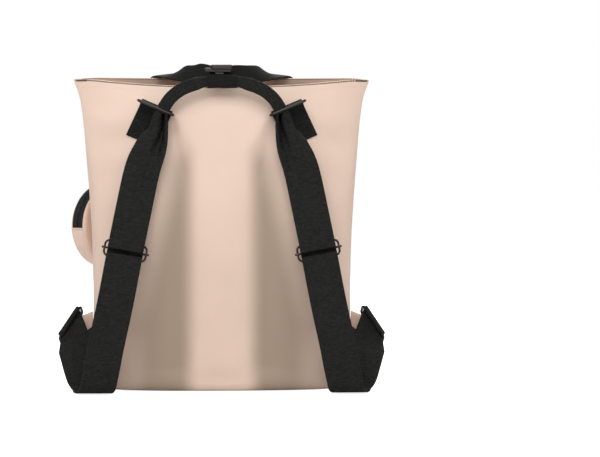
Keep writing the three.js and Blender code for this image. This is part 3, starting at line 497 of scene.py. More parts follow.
def round_ended(path, radius, sides):
    """A rod with round ends."""
    path = np.asarray(path, float)
    first = unit(path[0] - path[1])
    last = unit(path[-1] - path[-2])
    angles = np.linspace(math.pi / 2, 0, END_STEPS, endpoint=False)
    before = [path[0] + first * radius * math.sin(a) for a in angles]
    after = [path[-1] + last * radius * math.sin(a) for a in angles[::-1]]
    cut = [max(0.05, math.cos(a)) * radius for a in angles]
    radii = [*cut, *([radius] * len(path)), *cut[::-1]]
    return tube(np.array([*before, *path, *after]), np.array(radii), sides)


def merge(parts):
    points, faces = [], []
    start = 0
    for part_points, part_faces in parts:
        points.append(np.asarray(part_points, float).reshape(-1, 3))
        faces += [tuple(int(i) + start for i in face) for face in part_faces]
        start += len(points[-1])
    return np.concatenate(points), faces


def box_part(centre, axes, half, bevel):
    """A block along three directions, its edges cut by a bevel."""
    centre = np.asarray(centre, float)
    axes = [np.asarray(axis, float) for axis in axes]
    c = bevel * 0.8
    loops = []
    for sign, cut in ((-1, 1), (-1, 0), (1, 0), (1, 1)):
        a, b = half[0] - bevel * cut, half[1] - bevel * cut
        depth = half[2] if cut else half[2] - bevel
        corners = [(-a + c, -b), (a - c, -b), (a, -b + c), (a, b - c),
                   (a - c, b), (-a + c, b), (-a, b - c), (-a, -b + c)]
        loops.append([centre + axes[0] * p + axes[1] * q + axes[2] * sign * depth for p, q in corners])
    return rod_mesh(np.array(loops))


def distance_along(points):
    """How far each point of a path lies from its start, measured along it."""
    return np.concatenate([[0], np.cumsum(np.linalg.norm(np.diff(points, axis=0), axis=1))])


def grid_normals(grid):
    down = np.gradient(grid, axis=0)
    over = np.gradient(grid, axis=1)
    return unit(np.cross(down, over))


def edge_shares(half_width, thick, inner):
    """Places across a strip, crowded towards both edges so that the edges can be round."""
    rim = [0, 0.08, 0.3, 0.65, 1.1]
    edge = 1 - np.array(rim) * thick / 2 / half_width
    middle = np.linspace(-edge[-1], edge[-1], inner + 2)[1:-1]
    return np.concatenate([-edge, middle, edge[::-1]])


def rounding(from_edge, thick):
    """How thick a sheet is at a distance from its edge, as a share of its full thickness."""
    return np.sqrt(np.clip(1 - np.clip(1 - from_edge / (thick * 0.5), 0, 1) ** 2, EDGE_LEAST, 1))


def sheet_values(across, along, edge, shape):
    """Three numbers a point: its places across and along a strip, and its distance from the edge or 0."""
    return np.stack([np.broadcast_to(value, shape) for value in (across, along, edge)], -1).reshape(-1, 3)


def soft_sheet(grid, thick):
    """A strip of cloth with round edges: a grid of mid points, rows along it, made thick both ways."""
    rows, columns = grid.shape[:2]
    width = distance_along(grid[rows // 2])
    length = distance_along(grid[:, columns // 2])
    from_edge = np.minimum(width, width[-1] - width)
    from_end = np.minimum(length, length[-1] - length)[:, None]
    bulge = rounding(from_edge[None, :], thick) * rounding(from_end, thick)
    lift = grid_normals(grid) * (thick * 0.5 * bulge)[..., None]
    loops = np.concatenate([grid + lift, (grid - lift)[:, ::-1]], axis=1)
    around = 2 * columns
    faces = [tuple(face) for face in grid_faces(rows, around, wrap_columns=True)]
    for row, flip in ((0, True), (rows - 1, False)):
        start = row * around
        for j in range(columns - 1):
            quad = (start + j, start + j + 1, start + around - 2 - j, start + around - 1 - j)
            faces.append(quad[::-1] if flip else quad)
    across = np.concatenate([width, width[::-1]])
    edge = np.concatenate([from_edge, from_edge[::-1]])
    return loops.reshape(-1, 3), faces, sheet_values(across, length[:, None], edge, (rows, around))


def stitch_line(path, normals, pitch, length, radius, lift):
    """Small threads laid end to end along a path on the cloth."""
    path = np.asarray(path, float)
    normals = np.asarray(normals, float)
    run = distance_along(path)
    rise = np.array([-THREAD_SUNK, lift, lift, -THREAD_SUNK])[:, None]
    parts = []
    for start in np.arange(0.5, run[-1] - length, pitch):
        at = start + np.array([0, 0.25, 0.75, 1]) * length
        points = np.stack([np.interp(at, run, path[:, k]) for k in range(3)], -1)
        out = np.stack([np.interp(at, run, normals[:, k]) for k in range(3)], -1)
        parts.append(tube(points + out * rise, np.array([0.6, 1, 1, 0.6]) * radius, THREAD_SIDES))
    return merge(parts)


def curve_through(stations, steps):
    """A smooth line through stations, with so many steps from each to the next."""
    stations = np.asarray(stations, float)
    last = len(stations) - 1
    index = np.arange(last)
    a, b, c, d = (stations[np.clip(index + k, 0, last)][:, None, :] for k in (-1, 0, 1, 2))
    t = (np.arange(steps) / steps)[None, :, None]
    points = b + 0.5 * t * (c - a + t * (2 * a - 5 * b + 4 * c - d + t * (3 * (b - c) + d - a)))
    return np.concatenate([points.reshape(-1, stations.shape[1]), stations[-1:]])


def rounded_rectangle(centre, u, v, a, b, corner, steps):
    path = []
    for side_a, side_b, start in ((1, 1, 0), (-1, 1, 90), (-1, -1, 180), (1, -1, 270)):
        for k in range(steps + 1):
            turn = math.radians(start + 90 * k / steps)
            p = side_a * (a - corner) + corner * math.cos(turn)
            q = side_b * (b - corner) + corner * math.sin(turn)
            path.append(np.asarray(centre) + np.asarray(u) * p + np.asarray(v) * q)
    return np.array(path)


def loop_radius(thick):
    """Radius of the middle of a strip that lies round a ring's bar."""
    return RING_WIRE / 2 + RING_CLEARANCE + thick / 2


def loop_round(ahead, over, radius):
    turn = np.radians(np.linspace(0, LOOP_SWEEP, LOOP_STEPS + 1))[:, None]
    return over * radius * np.cos(turn) + ahead * radius * np.sin(turn)


# Materials
def new_material(name, color, roughness, metallic=0.0, sheen=0.0, specular=0.5):
    material = bpy.data.materials.new(name)
    material.use_nodes = True
    nodes, links = material.node_tree.nodes, material.node_tree.links
    shader = nodes["Principled BSDF"]
    shader.inputs["Base Color"].default_value = (*color, 1)
    shader.inputs["Roughness"].default_value = roughness
    shader.inputs["Metallic"].default_value = metallic
    shader.inputs["Specular IOR Level"].default_value = specular
    shader.inputs["Sheen Weight"].default_value = sheen
    return material, nodes, links, shader


def add_noise(nodes, links, vector, scale, detail, roughness=0.5):
    noise = nodes.new("ShaderNodeTexNoise")
    noise.inputs["Scale"].default_value = scale
    noise.inputs["Detail"].default_value = detail
    noise.inputs["Roughness"].default_value = roughness
    links.new(vector, noise.inputs["Vector"])
    return noise.outputs["Fac"]


def add_ramp(nodes, links, value, stops):
    ramp = nodes.new("ShaderNodeValToRGB")
    elements = ramp.color_ramp.elements
    while len(elements) < len(stops):
        elements.new(0.5)
    for element, (place, color) in zip(elements, stops):
        element.position = place
        element.color = (*color, 1)
    links.new(value, ramp.inputs["Fac"])
    return ramp.outputs["Color"]


def add_math(nodes, links, operation, a, b):
    node = nodes.new("ShaderNodeMath")
    node.operation = operation
    for socket, value in zip(node.inputs, (a, b)):
        if isinstance(value, (int, float)):
            socket.default_value = value
        else:
            links.new(value, socket)
    return node.outputs[0]


def add_bump(nodes, links, shader, height, distance, strength):
    bump = nodes.new("ShaderNodeBump")
    bump.inputs["Strength"].default_value = strength
    bump.inputs["Distance"].default_value = distance
    links.new(height, bump.inputs["Height"])
    links.new(bump.outputs["Normal"], shader.inputs["Normal"])


def object_vector(nodes):
    return nodes.new("ShaderNodeTexCoord").outputs["Object"]


def stretched(nodes, links, vector, scale):
    mapping = nodes.new("ShaderNodeMapping")
    mapping.inputs["Scale"].default_value = scale
    links.new(vector, mapping.inputs["Vector"])
    return mapping.outputs["Vector"]


def attribute_vector(nodes):
    node = nodes.new("ShaderNodeAttribute")
    node.attribute_name = "cloth"
    return node.outputs["Vector"]


def coated_cloth(light, dark, painted_shade):
    """Smooth coated cloth: a satin face, a very fine grain, faint rub marks and shade painted into the
    hollows of the back.
    """
    material, nodes, links, shader = new_material("coated_cloth", light, 0.46, specular=0.4)
    place = object_vector(nodes)
    tone = add_ramp(nodes, links, add_noise(nodes, links, place, 9, 4), [(0.3, dark), (0.7, light)])
    # The cloth attribute's third number mixes the colour towards a darker one: painted shade in the back's
    # hollows
    split = nodes.new("ShaderNodeSeparateXYZ")
    links.new(attribute_vector(nodes), split.inputs[0])
    shade = nodes.new("ShaderNodeMix")
    shade.data_type = "RGBA"
    links.new(split.outputs["Z"], shade.inputs[0])
    links.new(tone, shade.inputs[6])
    shade.inputs[7].default_value = (*painted_shade, 1)
    links.new(shade.outputs[2], shader.inputs["Base Color"])
    rough = nodes.new("ShaderNodeMapRange")
    rough.inputs["To Min"].default_value = 0.4
    rough.inputs["To Max"].default_value = 0.56
    links.new(add_noise(nodes, links, place, 30, 3), rough.inputs["Value"])
    links.new(rough.outputs["Result"], shader.inputs["Roughness"])
    grain = nodes.new("ShaderNodeTexVoronoi")
    grain.inputs["Scale"].default_value = 1400
    links.new(place, grain.inputs["Vector"])
    fine = add_noise(nodes, links, place, 900, 2)
    height = add_math(nodes, links, "ADD", grain.outputs["Distance"], fine)
    add_bump(nodes, links, shader, height, 0.00006, 0.35)
    return material


def grained_leather(light, dark):
    """Black leather with a fine pebble grain that is drawn out across the strap."""
    material, nodes, links, shader = new_material("grained_leather", dark, 0.5, specular=0.2)
    place = object_vector(nodes)
    drawn = stretched(nodes, links, place, (1.0, 1.0, 2.3))
    pebble = nodes.new("ShaderNodeTexVoronoi")
    pebble.feature = "SMOOTH_F1"
    pebble.inputs["Scale"].default_value = 400
    pebble.inputs["Smoothness"].default_value = 0.5
    links.new(drawn, pebble.inputs["Vector"])
    swell = add_noise(nodes, links, drawn, 190, 4, 0.65)
    height = add_math(nodes, links, "ADD", pebble.outputs["Distance"], swell)
    color = add_ramp(nodes, links, swell, [(0.38, dark), (0.64, light)])
    links.new(color, shader.inputs["Base Color"])
    rough = nodes.new("ShaderNodeMapRange")
    rough.inputs["To Min"].default_value = 0.42
    rough.inputs["To Max"].default_value = 0.68
    links.new(swell, rough.inputs["Value"])
    links.new(rough.outputs["Result"], shader.inputs["Roughness"])
    add_bump(nodes, links, shader, height, 0.0012, 1.0)
    return material


def woven(color, pitch):
    """Flat webbing: rows of raised threads, over and under, along the strip."""
    material, nodes, links, shader = new_material("woven_webbing", color, 0.78, sheen=0.02, specular=0.22)
    split = nodes.new("ShaderNodeSeparateXYZ")
    links.new(attribute_vector(nodes), split.inputs[0])
    threads = []
    for axis in ("X", "Y"):
        turns = add_math(nodes, links, "MULTIPLY", split.outputs[axis], 2 * math.pi / pitch)
        threads.append(add_math(nodes, links, "SINE", turns, 0))
    weave = add_math(nodes, links, "MULTIPLY", *threads)
    fuzz = add_noise(nodes, links, object_vector(nodes), 800, 3)
    height = add_math(nodes, links, "ADD", weave, fuzz)
    add_bump(nodes, links, shader, height, 0.00022, 0.8)
    return material


def gunmetal():
    material, nodes, links, shader = new_material("gunmetal", (0.048, 0.046, 0.044), 0.2, metallic=1.0)
    place = object_vector(nodes)
    rough = nodes.new("ShaderNodeMapRange")
    rough.inputs["To Min"].default_value = 0.1
    rough.inputs["To Max"].default_value = 0.24
    links.new(add_noise(nodes, links, place, 240, 5), rough.inputs["Value"])
    links.new(rough.outputs["Result"], shader.inputs["Roughness"])
    add_bump(nodes, links, shader, add_noise(nodes, links, place, 900, 2), 0.00002, 0.3)
    return material


def plain(name, color, roughness, specular=0.5):
    material, nodes, links, shader = new_material(name, color, roughness, specular=specular)
    add_bump(nodes, links, shader, add_noise(nodes, links, object_vector(nodes), 700, 2), 0.0001, 0.4)
    return material


# The third colour is the shade painted into the hollows of the back
CLOTH = coated_cloth((0.79, 0.6, 0.492), (0.745, 0.56, 0.459), (0.355, 0.268, 0.2))
LEATHER = grained_leather((0.0135, 0.0137, 0.0128), (0.003, 0.003, 0.0028))
WEBBING = woven((0.0052, 0.005, 0.0048), 1.5)
METAL = gunmetal()
TAPE = plain("zip_tape_weave", (0.007, 0.007, 0.0075), 0.75, 0.3)
TEETH = plain("zip_teeth_nylon", (0.008, 0.008, 0.0085), 0.38, 0.4)
BEIGE_THREAD = plain("beige_thread", (0.66, 0.52, 0.42), 0.6)
BROWN_THREAD = plain("brown_thread", (0.1, 0.064, 0.049), 0.65)
BLACK_THREAD = plain("black_thread", (0.016, 0.016, 0.016), 0.5)

SHELL_SLOT = "shell_fabric"
STRAP_SLOT = "strap_leather"
WEBBING_SLOT = "webbing"
METAL_SLOT = "gunmetal"
ZIP_SLOT = "zip_tape"


# Bag panels
def panel_heights(low, high, count):
    """Heights up a panel, crowded at both ends."""
    t = np.linspace(0, 1, count)
    return low + (high - low) * (0.85 * t + 0.15 * smooth(t))


def hem_bulge(z, top):
    return HEM_PROUD * smooth((z - (top - HEM_DEEP)) / 1.2)


def base_rows(side, radius, inset, shares):
    rows = []
    reach = radius - inset
    for angle in np.linspace(0, math.pi / 2, BASE_STEPS):
        row = cloth_row(side, 0.0, shares, inset=radius - reach * math.sin(angle), finer=False)
        row[:, 2] = radius - reach * math.cos(angle)
        rows.append(row)
    seam = rows[0] * np.array([0.97, 0, 1])
    seam[:, 1] = side * GAP / 2
    return [seam, *rows]


def outline_height(z, radius):
    """The height whose outline a point takes, so that a rounded base runs smoothly into the side."""
    if not radius or z >= BASE_BLEND:
        return z
    return mix(0, BASE_BLEND, (z - radius) / (BASE_BLEND - radius))


def panel_grids(side, low, top, radius, shares, count, hem):
    """Outer and inner grids of one panel, with a rounded rim at its top."""
    outer, inner = [], []
    start = radius if radius else low
    heights = panel_heights(start, top - 1.0, count)
    for rows, inset in ((outer, 0.0), (inner, FABRIC)):
        if radius:
            rows += base_rows(side, radius, inset, shares)
        for z in heights[1 if radius else 0:]:
            at = outline_height(z, radius)
            near_low = np.exp(-(((z - low) / 1.8) ** 2)) if not radius else 0.0
            near_top = 0.0 if hem else np.exp(-(((z - top) / 1.8) ** 2))
            bulge = hem_bulge(z, top) * (1 if inset == 0 else -1)
            extra = bulge if hem else -PUCKER_DIP * (near_low + near_top)
            row = cloth_row(side, float(at), shares, inset=inset, extra=extra)
            row[:, 2] += z - at
            rows.append(row)
    rim = []
    for turn in np.linspace(0, math.pi, 7)[1:-1]:
        middle = (outer[-1] + inner[-1]) / 2
        half = (outer[-1] - inner[-1]) / 2
        rim.append(middle + half * math.cos(turn) + np.array([0, 0, math.sin(turn)]))
    outer += rim[: len(rim) // 2 + 1]
    inner += rim[len(rim) // 2 + 1:][::-1] + [rim[len(rim) // 2] - np.array([0, 0, 0.05])]
    return np.array(outer), np.array(inner)


def cloth_values(points, side):
    """Numbers for the cloth's material: x, z and how much shade is painted into its colour in the hollows of
    the back.
    """
    x, z = points[:, 0], points[:, 2]
    shade = hollow_and_painted_shade(x, z) if side < 0 else 0 * x
    return np.stack([x, z, shade], -1)


def cloth_piece(name, node, mesh, side=1):
    points, faces = mesh
    make_piece(name, points, faces, CLOTH, SHELL_SLOT, [node], cloth=cloth_values(points, side))


def build_panel(name, side, low, top, radius, count, hem):
    outer, inner = panel_grids(side, low, top, radius, PANEL_SHARES, count, hem)
    points, faces = shell_mesh(outer, inner)
    faces = faces if side < 0 else [face[::-1] for face in faces]
    cloth_piece(name, name.replace("cloth_", ""), (points, faces), side)


def seam_path(side, height, low_share=-1.0, high_share=1.0, count=400):
    shares = np.linspace(low_share, high_share, count)
    return cloth_point(side, shares, float(height))


def build_bag():
    build_panel("cloth_back_panel", -1, 0, BAG_HEIGHT, BACK_BASE_RADIUS, 170, True)
    build_panel("cloth_front_panel", 1, 0, BAND_SEAM, FRONT_BASE_RADIUS, 110, False)
    build_panel("cloth_front_yoke", 1, YOKE_SEAM, BAG_HEIGHT, 0, 50, True)
    build_band()
    build_hem()
    rows = []
    for height in (YOKE_SEAM + 3, BAND_SEAM - 3, WINDOW_HIGH + 3.4):
        path, normals = seam_path(1, height, -0.97, 0.97)
        rows.append(stitch_line(path, normals, 3.3, 2.4, 0.36, lift=0.15))
    make_piece("seam_stitches_front", *merge(rows), BEIGE_THREAD, SHELL_SLOT)


def build_hem():
    """Brown stitches round the mouth, on both faces of the cloth, with a close bar of them by each side."""
    for side, label in ((-1, "back"), (1, "front")):
        rows = []
        path, normals = seam_path(side, BAG_HEIGHT - HEM_DROP, -HEM_END_SHARE, HEM_END_SHARE)
        rows.append(stitch_line(path, normals, 3.3, 2.5, HEM_THREAD, lift=0.62))
        inside = path - normals * (FABRIC + 0.3)
        rows.append(stitch_line(inside, -normals, 3.3, 2.3, 0.5, lift=0.3))
        for low, high in ((-HEM_END_SHARE, -CORNER_START_SHARE), (CORNER_START_SHARE, HEM_END_SHARE)):
            path, normals = seam_path(side, BAG_HEIGHT - HEM_DROP, low, high, 60)
            rows.append(stitch_line(path, normals, 2.2, 2.0, CORNER_THREAD, lift=0.5))
        make_piece(f"hem_stitches_{label}", *merge(rows), BROWN_THREAD, SHELL_SLOT)


def joined_steps(stretches):
    """Places along stretches that follow each other, each given as its start, end and number of steps."""
    places = [np.linspace(start, end, steps, endpoint=False) for start, end, steps in stretches]
    return np.concatenate([*places, [stretches[-1][1]]])


def build_band():
    side_steps, window_steps = 24, 170
    below_steps, high_steps, above_steps = 6, 7, 30
    across = [(-1, WINDOW_EDGE, side_steps), (WINDOW_EDGE, -WINDOW_EDGE, window_steps),
              (-WINDOW_EDGE, 1, side_steps)]
    upward = [(BAND_SEAM + GAP, WINDOW_LOW, below_steps), (WINDOW_LOW, WINDOW_HIGH, high_steps),
              (WINDOW_HIGH, YOKE_SEAM - GAP, above_steps)]
    shares = joined_steps(across)
    heights = joined_steps(upward)

    def row(z, inset):
        near = np.exp(-(((z - BAND_SEAM) / 1.6) ** 2)) + np.exp(-(((z - YOKE_SEAM) / 1.6) ** 2))
        return cloth_row(1, float(z), shares, inset=inset, extra=-PUCKER_DIP * near)

    outer = np.array([row(z, 0.0) for z in heights])
    inner = np.array([row(z, FABRIC) for z in heights])
    hole = np.zeros((len(heights) - 1, len(shares) - 1), bool)
    hole[below_steps:below_steps + high_steps, side_steps:side_steps + window_steps] = True
    corners = [(WINDOW_EDGE, WINDOW_LOW), (-WINDOW_EDGE, WINDOW_LOW),
               (-WINDOW_EDGE, WINDOW_HIGH), (WINDOW_EDGE, WINDOW_HIGH)]
    path = []
    for (s0, z0), (s1, z1) in zip(corners, corners[1:] + corners[:1]):
        steps = 160 if abs(s1 - s0) > 0.1 else 8
        for t in np.linspace(0, 1, steps, endpoint=False):
            on_cloth, normal = cloth_point(1, mix(s0, s1, t), float(mix(z0, z1, t)))
            path.append(on_cloth[0] + normal[0] * 0.15)
    welt = tube(path, 1.05, 8, closed=True)
    cloth_piece("cloth_front_band", "front_band", merge([masked_shell(outer, inner, hole), welt]))


# Front zip
def zip_teeth(place, length):
    """Two rows of small coils that mesh along a line. place(distance) gives point, along, across, out."""
    parts = []
    for k, run in enumerate(np.arange(COIL_PITCH, length - COIL_PITCH, COIL_PITCH / 2)):
        point, along, across, out = place(run)
        side = 1 if k % 2 else -1
        centre = point + across * side * COIL_WIDE * 0.36
        parts.append(box_part(centre, (across, out, along), (COIL_WIDE * 0.5, 0.75, 0.42), 0.25))
    return merge(parts)


def build_front_tape():
    shares = np.linspace(WINDOW_EDGE - 0.06, -WINDOW_EDGE + 0.06, 180)
    heights = [WINDOW_LOW - 2, *(WINDOW_MIDDLE + rise for rise in (-4, -1, 1, 4)), WINDOW_HIGH + 2]
    grid = np.array([cloth_row(1, float(z), shares, inset=FABRIC + GAP + 0.5) for z in heights])
    sheet_piece("zip_tape_front", soft_sheet(grid, 0.8), TAPE, ZIP_SLOT, ["front_zip_tape"])


def build_front_teeth():
    at, normals = cloth_point(1, np.linspace(WINDOW_EDGE, -WINDOW_EDGE, 500), float(WINDOW_MIDDLE))
    at = at - normals * (FABRIC + GAP - 0.55)
    run = distance_along(at)

    def place(distance):
        point = np.array([np.interp(distance, run, at[:, k]) for k in range(3)])
        out = unit(np.array([np.interp(distance, run, normals[:, k]) for k in range(3)]))
        return point, unit(np.cross(out, UP)), UP, out

    make_piece("zip_teeth_front", *zip_teeth(place, run[-1]), TEETH, ZIP_SLOT)


def build_front_slider(point, aside, normal):
    axes = (aside, UP, normal)
    half_long, half_tall = ZIP_SLIDER_LONG / 2, ZIP_SLIDER_TALL / 2
    half_arch = [(2.6, BAIL_STAND), (3.8, 4.3), (4.3, 3), (4.2, 1)]
    arch = [(-a, n) for a, n in half_arch[::-1]] + half_arch
    parts = [
        box_part(point + normal * (ZIP_SLIDER_OUT - 0.7), axes, (half_long, half_tall, 0.7), 0.45),
        box_part(point - normal * 0.9, axes, (half_long - 1.5, half_tall - 0.6, 1.1), 0.4),
        tube(curve_through([point + aside * a + normal * n for a, n in arch], 6), BAIL_RADIUS, 10),
    ]
    make_piece("zip_slider_front", *merge(parts), METAL, METAL_SLOT, ["front_zip_slider"])


def build_puller(bail, aside, normal):
    eye = [bail + normal * PULLER_EYE * 0.72 * math.cos(a) + UP * (PULLER_EYE * 0.72 * math.sin(a))
           for a in np.linspace(0, 2 * math.pi, 24, endpoint=False)]
    half = (PULLER_WIDE * 0.36, PULLER_THICK * 0.62, 3.0)
    clamp = box_part(bail - UP * 5.2, (aside, normal, UP), half, 0.5)
    loop = tube(eye, 0.7, 10, closed=True)
    make_piece("puller_clamp", *merge([loop, clamp]), METAL, METAL_SLOT, body=PULLER)
    tip = PULLER_LONG - 4 + 4 * np.sin(np.linspace(0.1, 1.5, 7))
    drops = np.concatenate([[6.5, 7.5, 9, 12, 18, 26, 34, 40], tip])
    widths = np.interp(drops, [6.5, 10, 30, 42, 44.5, 46], [0.36, 0.5, 0.5, 0.46, 0.33, 0.12]) * PULLER_WIDE
    columns = np.linspace(-1, 1, 15)
    tab = np.array([[bail + aside * w * c - UP * d for c in columns] for d, w in zip(drops, widths)])
    sheet = soft_sheet(tab, PULLER_THICK)
    sheet_piece("puller_tab", sheet, LEATHER, STRAP_SLOT, ["front_zip_puller"], body=PULLER)
    edge = [bail + aside * s * 3.7 - UP * d + normal * (PULLER_THICK / 2 + 0.02)
            for s, ds in ((-1, np.linspace(10, 42, 30)), (1, np.linspace(42, 10, 30))) for d in ds]
    line = stitch_line(edge, np.tile(normal, (len(edge), 1)), 2.2, 1.5, 0.2, lift=0.05)
    make_piece("puller_stitches", *line, BLACK_THREAD, STRAP_SLOT, body=PULLER)


def build_front_zip():
    build_front_tape()
    build_front_teeth()
    point, normal = (v[0] for v in cloth_point(1, ZIP_SLIDER_SHARE, float(WINDOW_MIDDLE), finer=False))
    aside = np.array([normal[1], -normal[0], 0])
    build_front_slider(point, aside, normal)
    build_puller(point + normal * BAIL_STAND, aside, normal)


# Flap pocket
def pocket_place(column, height, depth):
    points, normals = cloth_point(1, 2 * np.asarray(column, float) / COLUMNS - 1, float(height))
    return points + normals * np.asarray(depth, float)[..., None]


def pocket_profile(column, inset):
    from_edge = np.minimum(column - POCKET_FIRST_COLUMN, POCKET_LAST_COLUMN - column) * 2 * HALF_ARC / COLUMNS
    drop = POCKET_CORNER - np.minimum(POCKET_CORNER, from_edge)
    low = POCKET_BOTTOM + POCKET_CORNER - np.sqrt(POCKET_CORNER**2 - drop**2) + inset
    reach = mix(9, 48, smooth(from_edge / 40))
    return low, reach


def pocket_depth(height, low, reach, inset):
    share = np.clip((height - low) / reach, 0, 1)
    return GAP + (POCKET_DEPTH - inset - GAP) * np.sqrt(1 - (1 - share) ** 2)


def pocket_face_grid(inset, columns, rows):
    low, reach = pocket_profile(columns, inset)
    grid = np.zeros((len(rows), len(columns), 3))
    wide = POCKET_LAST_COLUMN - POCKET_FIRST_COLUMN
    for i, share in enumerate(rows):
        heights = mix(low, POCKET_TOP, share)
        for j, height in enumerate(heights):
            over = math.sin(math.pi * (columns[j] - POCKET_FIRST_COLUMN) / wide)
            swell = 1.1 * over * math.sin(math.pi * share)
            deep = pocket_depth(height, low[j], reach[j], inset) + swell
            grid[i, j] = pocket_place(columns[j:j + 1], height, np.array([deep]))[0]
    return grid


def build_gusset(name, column, inward):
    low, reach = pocket_profile(np.array([float(column)]), POCKET_FABRIC)
    heights = low[0] + np.concatenate([[2.4, 4, 7, 12], np.linspace(18, POCKET_TOP - low[0], 34)])
    shares = np.linspace(0, 1, 12)
    crease = 0.16 * np.sin(np.linspace(0, math.pi, 12)) * inward
    places = []
    for at in (column, column + inward * POCKET_FABRIC / ARC_A_COLUMN):
        side = []
        for height in heights:
            reached = pocket_depth(height, low[0], reach[0], POCKET_FABRIC)
            deep = mix(GAP, min(reached - GAP, reached * 0.97), shares)
            top = 5 * (1 - shares) * smooth((height - POCKET_TOP + 12) / 12)
            side.append([pocket_place(np.array([at + c]), height + t, np.array([d]))[0]
                         for d, t, c in zip(deep, top, crease)])
        places.append(np.array(side))
    points, faces = shell_mesh(*places)
    faces = faces if inward > 0 else [face[::-1] for face in faces]
    foot_column = np.array([column + 0.02 * -inward])
    foot = [pocket_place(foot_column, height, np.array([1.0]))[0] for height in heights]
    mesh = merge([(points, faces), tube(np.array(foot), 1.0, 8)])
    cloth_piece(f"cloth_pocket_gusset_{name}", f"flap_pocket_gusset_{name}", mesh)


def build_flap_pocket():
    columns = np.linspace(POCKET_FIRST_COLUMN, POCKET_LAST_COLUMN, 57)
    rows = np.concatenate([[0, 0.01, 0.025, 0.045], np.linspace(0.07, 1, 44)])
    outer, inner = (pocket_face_grid(inset, columns, rows) for inset in (0, POCKET_FABRIC))
    parts = [shell_mesh(outer, inner), tube(outer[-1] - np.array([0, 0, 0.2]), 1.0, 8)]
    for j in (0, -1):
        parts.append(tube(outer[2:, j], 1.15, 8))
    cloth_piece("cloth_pocket_face", "flap_pocket_face", merge(parts))
    build_gusset("outer", POCKET_LAST_COLUMN, -1)
    build_gusset("inner", POCKET_FIRST_COLUMN, 1)
    build_flap()
    build_snap()


# The flap from its seam to its free edge: drop from FLAP_TOP, depth as a share of POCKET_DEPTH, and the
# start of its outer edge in millimetres of arc.
FLAP_ROWS = [
    (0, 0.017, 12),
    (-0.05, 0.4, 8),
    (0.03, 0.85, 4),
    (0.16, 1.13, 3),
    (0.4, 1.17, 8),
    (0.7, 1.2, 13),
    (1, 1.24, 18),
]


def flap_grid(rows_a_step, columns):
    grid = []
    for drop, depth, edge in curve_through(FLAP_ROWS, rows_a_step):
        row = []
        for share in columns:
            column = POCKET_LAST_COLUMN - (edge + share * (FLAP_WIDTH - edge * 0.4)) / ARC_A_COLUMN
            flare = smooth((share - 0.65) / 0.35) * np.clip(drop, 0, 1) ** 2
            height = mix(FLAP_TOP, FLAP_BOTTOM, drop) + 12 * flare
            deep = np.array([depth * POCKET_DEPTH + 9 * flare])
            row.append(pocket_place(np.array([column]), height, deep)[0])
        grid.append(row)
    return np.array(grid)


# The snap from its foot to its crown: how far it stands out, and its radius as a share of SNAP_RADIUS
SNAP_PROFILE = [
    (0, 1),
    (0.7, 1),
    (1.2, 0.93),
    (1.5, 0.8),
    (1.45, 0.62),
    (1.7, 0.5),
    (2.0, 0.3),
    (2.1, 0.05),
]


def build_flap():
    grid = flap_grid(7, np.linspace(0, 1, 49))
    points, faces, cloth = soft_sheet(grid, 2.0)
    # The cloth material paints shade by the third number; none on the flap
    cloth[:, 2] = 0
    sheet_piece("cloth_pocket_flap", (points, faces, cloth), CLOTH, SHELL_SLOT, ["pocket_flap"])
    normals = grid_normals(grid)
    if np.mean(normals[30:, :, 1]) < 0:
        normals = -normals
    top, bottom, near, far = 8, 39, 3, 45
    border = [(i, near) for i in range(top, bottom)]
    border += [(bottom, j) for j in range(near, far + 1)]
    border += [(i, far) for i in range(bottom, top, -1)]
    path = np.array([grid[i, j] for i, j in border])
    out = np.array([normals[i, j] for i, j in border])
    stitches = stitch_line(path + out, out, 3.2, 2.3, 0.34, lift=0.12)
    make_piece("flap_stitches", *stitches, BEIGE_THREAD, SHELL_SLOT)


def build_snap():
    coarse = flap_grid(1, np.linspace(0, 1, 11))
    centre = (coarse[4][5] + coarse[5][5]) / 2
    out = unit(np.cross(coarse[5][6] - coarse[5][4], coarse[6][5] - coarse[4][5]))
    out = out if out @ np.array([1, 1, 0]) > 0 else -out
    base = centre + out * 1.05
    u = unit(np.cross(out, UP))
    v = np.cross(out, u)
    turn = np.linspace(0, 2 * math.pi, 32, endpoint=False)
    circle = u * np.cos(turn)[:, None] + v * np.sin(turn)[:, None]
    rings = np.array([base + out * rise + SNAP_RADIUS * share * circle for rise, share in SNAP_PROFILE])
    make_piece("snap_cap", *rod_mesh(rings), METAL, METAL_SLOT, ["flap_snap"])


# Round pocket
ROUND_FACING = unit([-1, 1, 0])
ROUND_ASIDE = unit([-1, -1, 0])
ROUND_ZIP_FAR_END = 180 - ROUND_ZIP_END
ROUND_FACE_START = ROUND_DEPTH - ROUND_FACE_RIM
ROUND_ZIP_MIDDLE = mix(ROUND_RIM, ROUND_FACE_START, 0.5)
ROUND_SLIDER_ANGLE = 150


def round_centre():
    """Middle of the round pocket's back, just clear of the cloth that it hangs against."""
    coarse = np.linspace(-1, 1, COLUMNS + 1)
    heights = [*(share * BAG_HEIGHT for share in (0.08, 0.16, 0.24, 0.32, 0.41, 0.5, 0.58)), BAND_SEAM]
    reach = max(float((cloth_row(1, z, coarse, finer=False) @ ROUND_FACING).max()) for z in heights)
    return ROUND_FACING * (reach + GAP) + ROUND_ASIDE * ROUND_SIDEWAYS + UP * ROUND_HEIGHT


ROUND_CENTRE = round_centre()


def round_place(angle, radius, depth):
    turn = np.radians(angle)
    out = ROUND_ASIDE * np.cos(turn) + UP * np.sin(turn)
    return ROUND_CENTRE + out * radius + ROUND_FACING * depth


